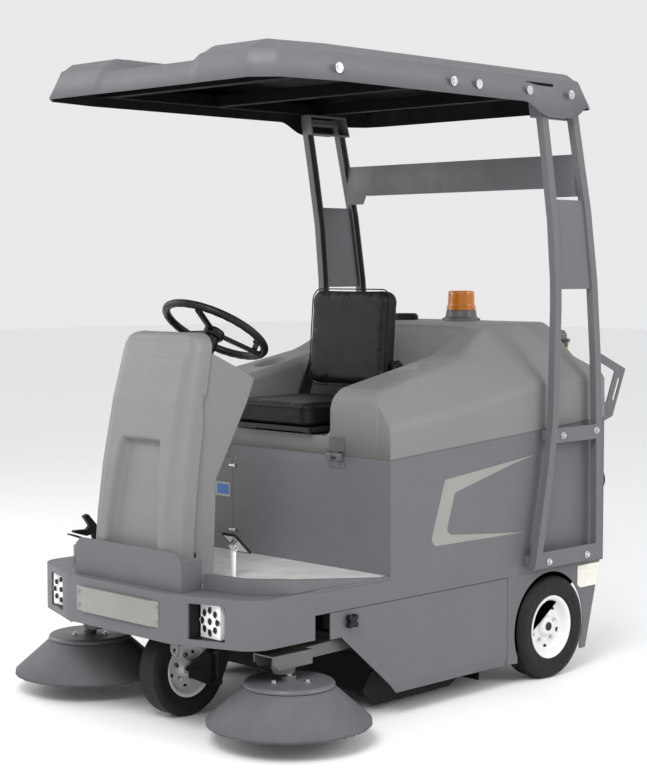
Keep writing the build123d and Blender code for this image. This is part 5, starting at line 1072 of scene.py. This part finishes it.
# %% Hand wheel
WHEEL_TILT = radians(31.3)
WHEEL_AT = Vector((0, along(-1.069), 1.207))
WHEEL_R, GRIP_R = 0.181, 0.013
SPOKE_TURN = radians(55)
wheel_up = Vector((0, sin(WHEEL_TILT), cos(WHEEL_TILT)))
wheel_along = Vector((0, cos(WHEEL_TILT), -sin(WHEEL_TILT)))
wheel_turn = Matrix((Vector((1, 0, 0)), wheel_along, wheel_up)).transposed().to_4x4()
grip_turns = [2 * pi * k / 20 for k in range(21)]
grip = [(WHEEL_R - GRIP_R + GRIP_R * 0.98 * cos(a), GRIP_R * 0.98 * sin(a)) for a in grip_turns]
wheel_bm = spun(grip, (0, 0, 0), (0, 0, 1), 120)
for vert in wheel_bm.verts:
    ring = Vector((vert.co.x, vert.co.y, 0)).normalized() * (WHEEL_R - GRIP_R)
    offset = vert.co - ring
    angle = np.arctan2(vert.co.y, vert.co.x)
    pinch = 1 - 0.06 * (0.5 + 0.5 * cos(angle * 30)) * step_up(-vert.co.z, -0.002, 0.008)
    vert.co = ring + offset * pinch
hub = [(0.0102, -0.0265), (0.032, -0.0265), (0.034, -0.024), (0.034, -0.004), (0.031, 0.0005),
       (0.026, 0.0025), (0.0, 0.0028), (0.0, -0.0075), (0.0102, -0.0075), (0.0102, -0.0265)]
hub_bm = spun(hub, (0, 0, 0), (0, 0, 1), 56)
hub_mesh = bpy.data.meshes.new("hub")
hub_bm.to_mesh(hub_mesh)
wheel_bm.from_mesh(hub_mesh)
for k in range(3):
    angle = SPOKE_TURN + radians(120) * k
    turn = Matrix.Rotation(angle, 4, "Z")
    made = block(wheel_bm, (0.136, 0.022, 0.012), turn @ Vector((0.094, 0, -0.011)), turn)
    rims = {e for v in made for e in v.link_edges}
    round_off(wheel_bm, list(rims), 0.004, 3)
knob_foot = Vector((0.138 * cos(SPOKE_TURN), 0.138 * sin(SPOKE_TURN), 0))
bar(wheel_bm, knob_foot + Vector((0, 0, -0.008)), knob_foot + Vector((0, 0, 0.0338)), 0.0039, 20)
bmesh.ops.transform(wheel_bm, matrix=Matrix.Translation(WHEEL_AT) @ wheel_turn, verts=wheel_bm.verts)
wheel = piece("hand_wheel", wheel_bm, black_plastic, "hand_wheel", "black_plastic", "steering_wheel",
              flat_over=40)
column_bm = bmesh.new()
bar(column_bm, WHEEL_AT - wheel_up * 0.028, WHEEL_AT - wheel_up * 0.262, 0.025, 40)
bar(column_bm, WHEEL_AT - wheel_up * 0.008, WHEEL_AT - wheel_up * 0.030, 0.010, 24)
piece("column", column_bm, black_plastic, "machine", SLOT_OF["steering_column"], "steering_column",
      flat_over=40)
print("hand wheel", len(wheel.data.polygons), "faces")

# %% [markdown]
# The pedal is a steel plate with raised ribs in a rubber frame, on two small lugs and a pin.
# All of it is blocks turned by the pedal's tilt.

# %% Pedal
PEDAL_TILT = radians(44)
pedal_at = Vector((0.168, along(-1.135), 0.551))
pedal_turn = Matrix.Rotation(-PEDAL_TILT, 4, "X")
pedal_bm = bmesh.new()
block(pedal_bm, (0.054, 0.084, 0.005), pedal_at + pedal_turn @ Vector((0, 0, 0.0048)), pedal_turn)
for k in range(5):
    rib_at = pedal_at + pedal_turn @ Vector((0, -0.028 + 0.014 * k, 0.0078))
    block(pedal_bm, (0.040, 0.004, 0.0026), rib_at, pedal_turn)
for x in (-0.0095, 0.0095):
    block(pedal_bm, (0.005, 0.020, 0.022), Vector((0.168 + x, along(-1.1435), 0.5455)), pedal_turn)
bar(pedal_bm, Vector((0.156, along(-1.146), 0.540)), Vector((0.180, along(-1.146), 0.540)), 0.0039, 20)
pedal = piece("pedal_plate", pedal_bm, steel, "pedal", "bright_steel", "accelerator_pedal", flat_over=30)
edge_bm = pad_block((0.066, 0.096, 0.006), 0.008, 0.0018)
rubber_at = pedal_at + pedal_turn @ Vector((0, 0, 0.0031))
bmesh.ops.transform(edge_bm, matrix=Matrix.Translation(rubber_at) @ pedal_turn, verts=edge_bm.verts)
under_bm = bmesh.new()
block(under_bm, (0.050, 0.080, 0.0012), pedal_at + pedal_turn @ Vector((0, 0, -0.0004)), pedal_turn)
piece("pedal_underside", under_bm, steel, "pedal", "bright_steel", flat_over=30)
piece("pedal_rubber", edge_bm, rubber, "pedal", "bright_steel", flat_over=30)
print("pedal", len(pedal.data.polygons), "faces")

# %% [markdown]
# Each lamp has a white plate with nine round openings, one in the middle and eight round it. A dark disc of
# painted shade with a steel ring stands for each opening, and all discs are one piece.

# %% Lamps
lamp_low, lamp_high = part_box("lamp_plates")
LAMP_X, LAMP_Z = 0.360, (lamp_low[2] + lamp_high[2]) / 2
LAMP_FACE = lamp_low[1]
LAMP_SHIFT = 0.008
plate_bm = bmesh.new()
opening_shade_bm = bmesh.new()
ring_bm = bmesh.new()
for x in (-LAMP_X - LAMP_SHIFT, LAMP_X - LAMP_SHIFT):
    made = block(plate_bm, (0.086, 0.055, 0.102), (x, LAMP_FACE + 0.0275, LAMP_Z))
    round_off(plate_bm, list({e for v in made for e in v.link_edges}), 0.002, 2)
    opening_places = [(0, 0)] + [(0.033 * cos(pi / 4 * k), 0.033 * sin(pi / 4 * k)) for k in range(8)]
    for dx, dz in opening_places:
        base = Vector((x + dx, LAMP_FACE, LAMP_Z + dz))
        # Painted shade: a dark disc where the inside of the opening would be in shade.
        bar(opening_shade_bm, base + Vector((0, 0.002, 0)), base + Vector((0, -0.0008, 0)), 0.0088, 28)
        cup = [(0.0088, 0.0), (0.0108, 0.0), (0.0108, 0.0022), (0.0098, 0.0028), (0.0088, 0.0022),
               (0.0088, 0.0)]
        one = spun(cup, base, (0, -1, 0), 28)
        cup_mesh = bpy.data.meshes.new("cup")
        one.to_mesh(cup_mesh)
        ring_bm.from_mesh(cup_mesh)
white_lamp = beam_white()
piece("lamp_faces", plate_bm, white_lamp, "machine", "lamp_white", "lamp_plates", flat_over=30)
piece("lamp_opening_shade", opening_shade_bm, black_plastic, "machine", "lamp_white", flat_over=30)
piece("lamp_rings", ring_bm, steel, "machine", "lamp_white", flat_over=30)
print("lamps with", len(opening_places), "beads each")

# %% [markdown]
# A pale stripe runs along each side panel as an open arrow. Its outline is one face, with the
# corners rounded as points, extruded to a thin sheet. The label on the hatch is left blank.

# %% Side stripes and the blank label
STRIPE_OUT = [(-0.081, 0.776), (-0.549, 0.729), (-0.614, 0.543), (-0.596, 0.521), (-0.136, 0.518)]
STRIPE_IN = [(-0.297, 0.530), (-0.523, 0.550), (-0.540, 0.567), (-0.500, 0.684), (-0.199, 0.755)]


def stripe(side):
    bm = bmesh.new()
    x = side * (BODY_HALF + 0.0001)
    verts = [bm.verts.new((x, along(d), z)) for d, z in STRIPE_OUT + STRIPE_IN]
    corners = [verts[k] for k in (1, 2, 3, 6, 7, 8)]
    bm.faces.new(verts)
    round_off(bm, corners, 0.009, 5, "VERTICES")
    made = bmesh.ops.extrude_face_region(bm, geom=list(bm.faces))["geom"]
    bmesh.ops.translate(bm, vec=(side * 0.0004, 0, 0), verts=verts_of(made))
    bmesh.ops.recalc_face_normals(bm, faces=bm.faces)
    return piece("side_stripe_" + ("left" if side > 0 else "right"), bm, stripe_grey, "machine", "blue_panel",
                 smooth=False)


stripe_grey = decal_grey()
for side in (-1, 1):
    stripe(side)
label_bm = bmesh.new()
block(label_bm, (0.058, 0.0006, 0.034), (-0.262, along(BODY_FRONT) - 0.0010, 0.655))
piece("blank_label", label_bm, label_blue(), "hatch", "blue_panel", flat_over=30)
label_frame_bm = bmesh.new()
block(label_frame_bm, (0.072, 0.0008, 0.048), (-0.262, along(BODY_FRONT) - 0.0004, 0.655))
piece("label_frame", label_frame_bm, plate, "hatch", "blue_panel", flat_over=30)
print("stripes and label made")

# %% [markdown]
# The floor and lights are the studio: a pale sheet, a large soft light above and to the front,
# two weaker ones at the sides, and a bright even surround, so edges read without hard shadows.

# %% Studio
floor_mesh = bpy.data.meshes.new("studio_floor")
floor_bm = bmesh.new()
bmesh.ops.create_grid(floor_bm, x_segments=1, y_segments=1, size=30)
floor_bm.to_mesh(floor_mesh)
studio_floor = bpy.data.objects.new("studio_floor", floor_mesh)
bpy.context.scene.collection.objects.link(studio_floor)
floor_paper = bpy.data.materials.new("floor_paper")
floor_paper.use_nodes = True
floor_paper.node_tree.nodes["Principled BSDF"].inputs["Base Color"].default_value = (0.93, 0.93, 0.93, 1)
floor_paper.node_tree.nodes["Principled BSDF"].inputs["Roughness"].default_value = 0.85
floor_mesh.materials.append(floor_paper)


def soft_light(name, place, aim, size, power):
    data = bpy.data.lights.new(name, "AREA")
    data.shape = "DISK"
    data.size = size
    data.energy = power
    light = bpy.data.objects.new(name, data)
    bpy.context.scene.collection.objects.link(light)
    light.location = place
    light.rotation_mode = "QUATERNION"
    light.rotation_quaternion = (Vector(aim) - Vector(place)).to_track_quat("-Z", "Y")


soft_light("key", (2.2, -3.8, 4.2), (0, 0, 0.8), 2.6, 190)
soft_light("fill", (-4.0, -2.2, 2.4), (0, 0, 0.9), 3.0, 75)
soft_light("side", (4.5, 1.8, 2.6), (0, 0, 0.8), 2.6, 85)
world = bpy.data.worlds.new("surround")
bpy.context.scene.world = world
world.use_nodes = True
world.node_tree.nodes["Background"].inputs["Color"].default_value = (1, 1, 1, 1)
world.node_tree.nodes["Background"].inputs["Strength"].default_value = 0.82
bpy.context.scene.view_settings.view_transform = "Standard"
print("studio ready")
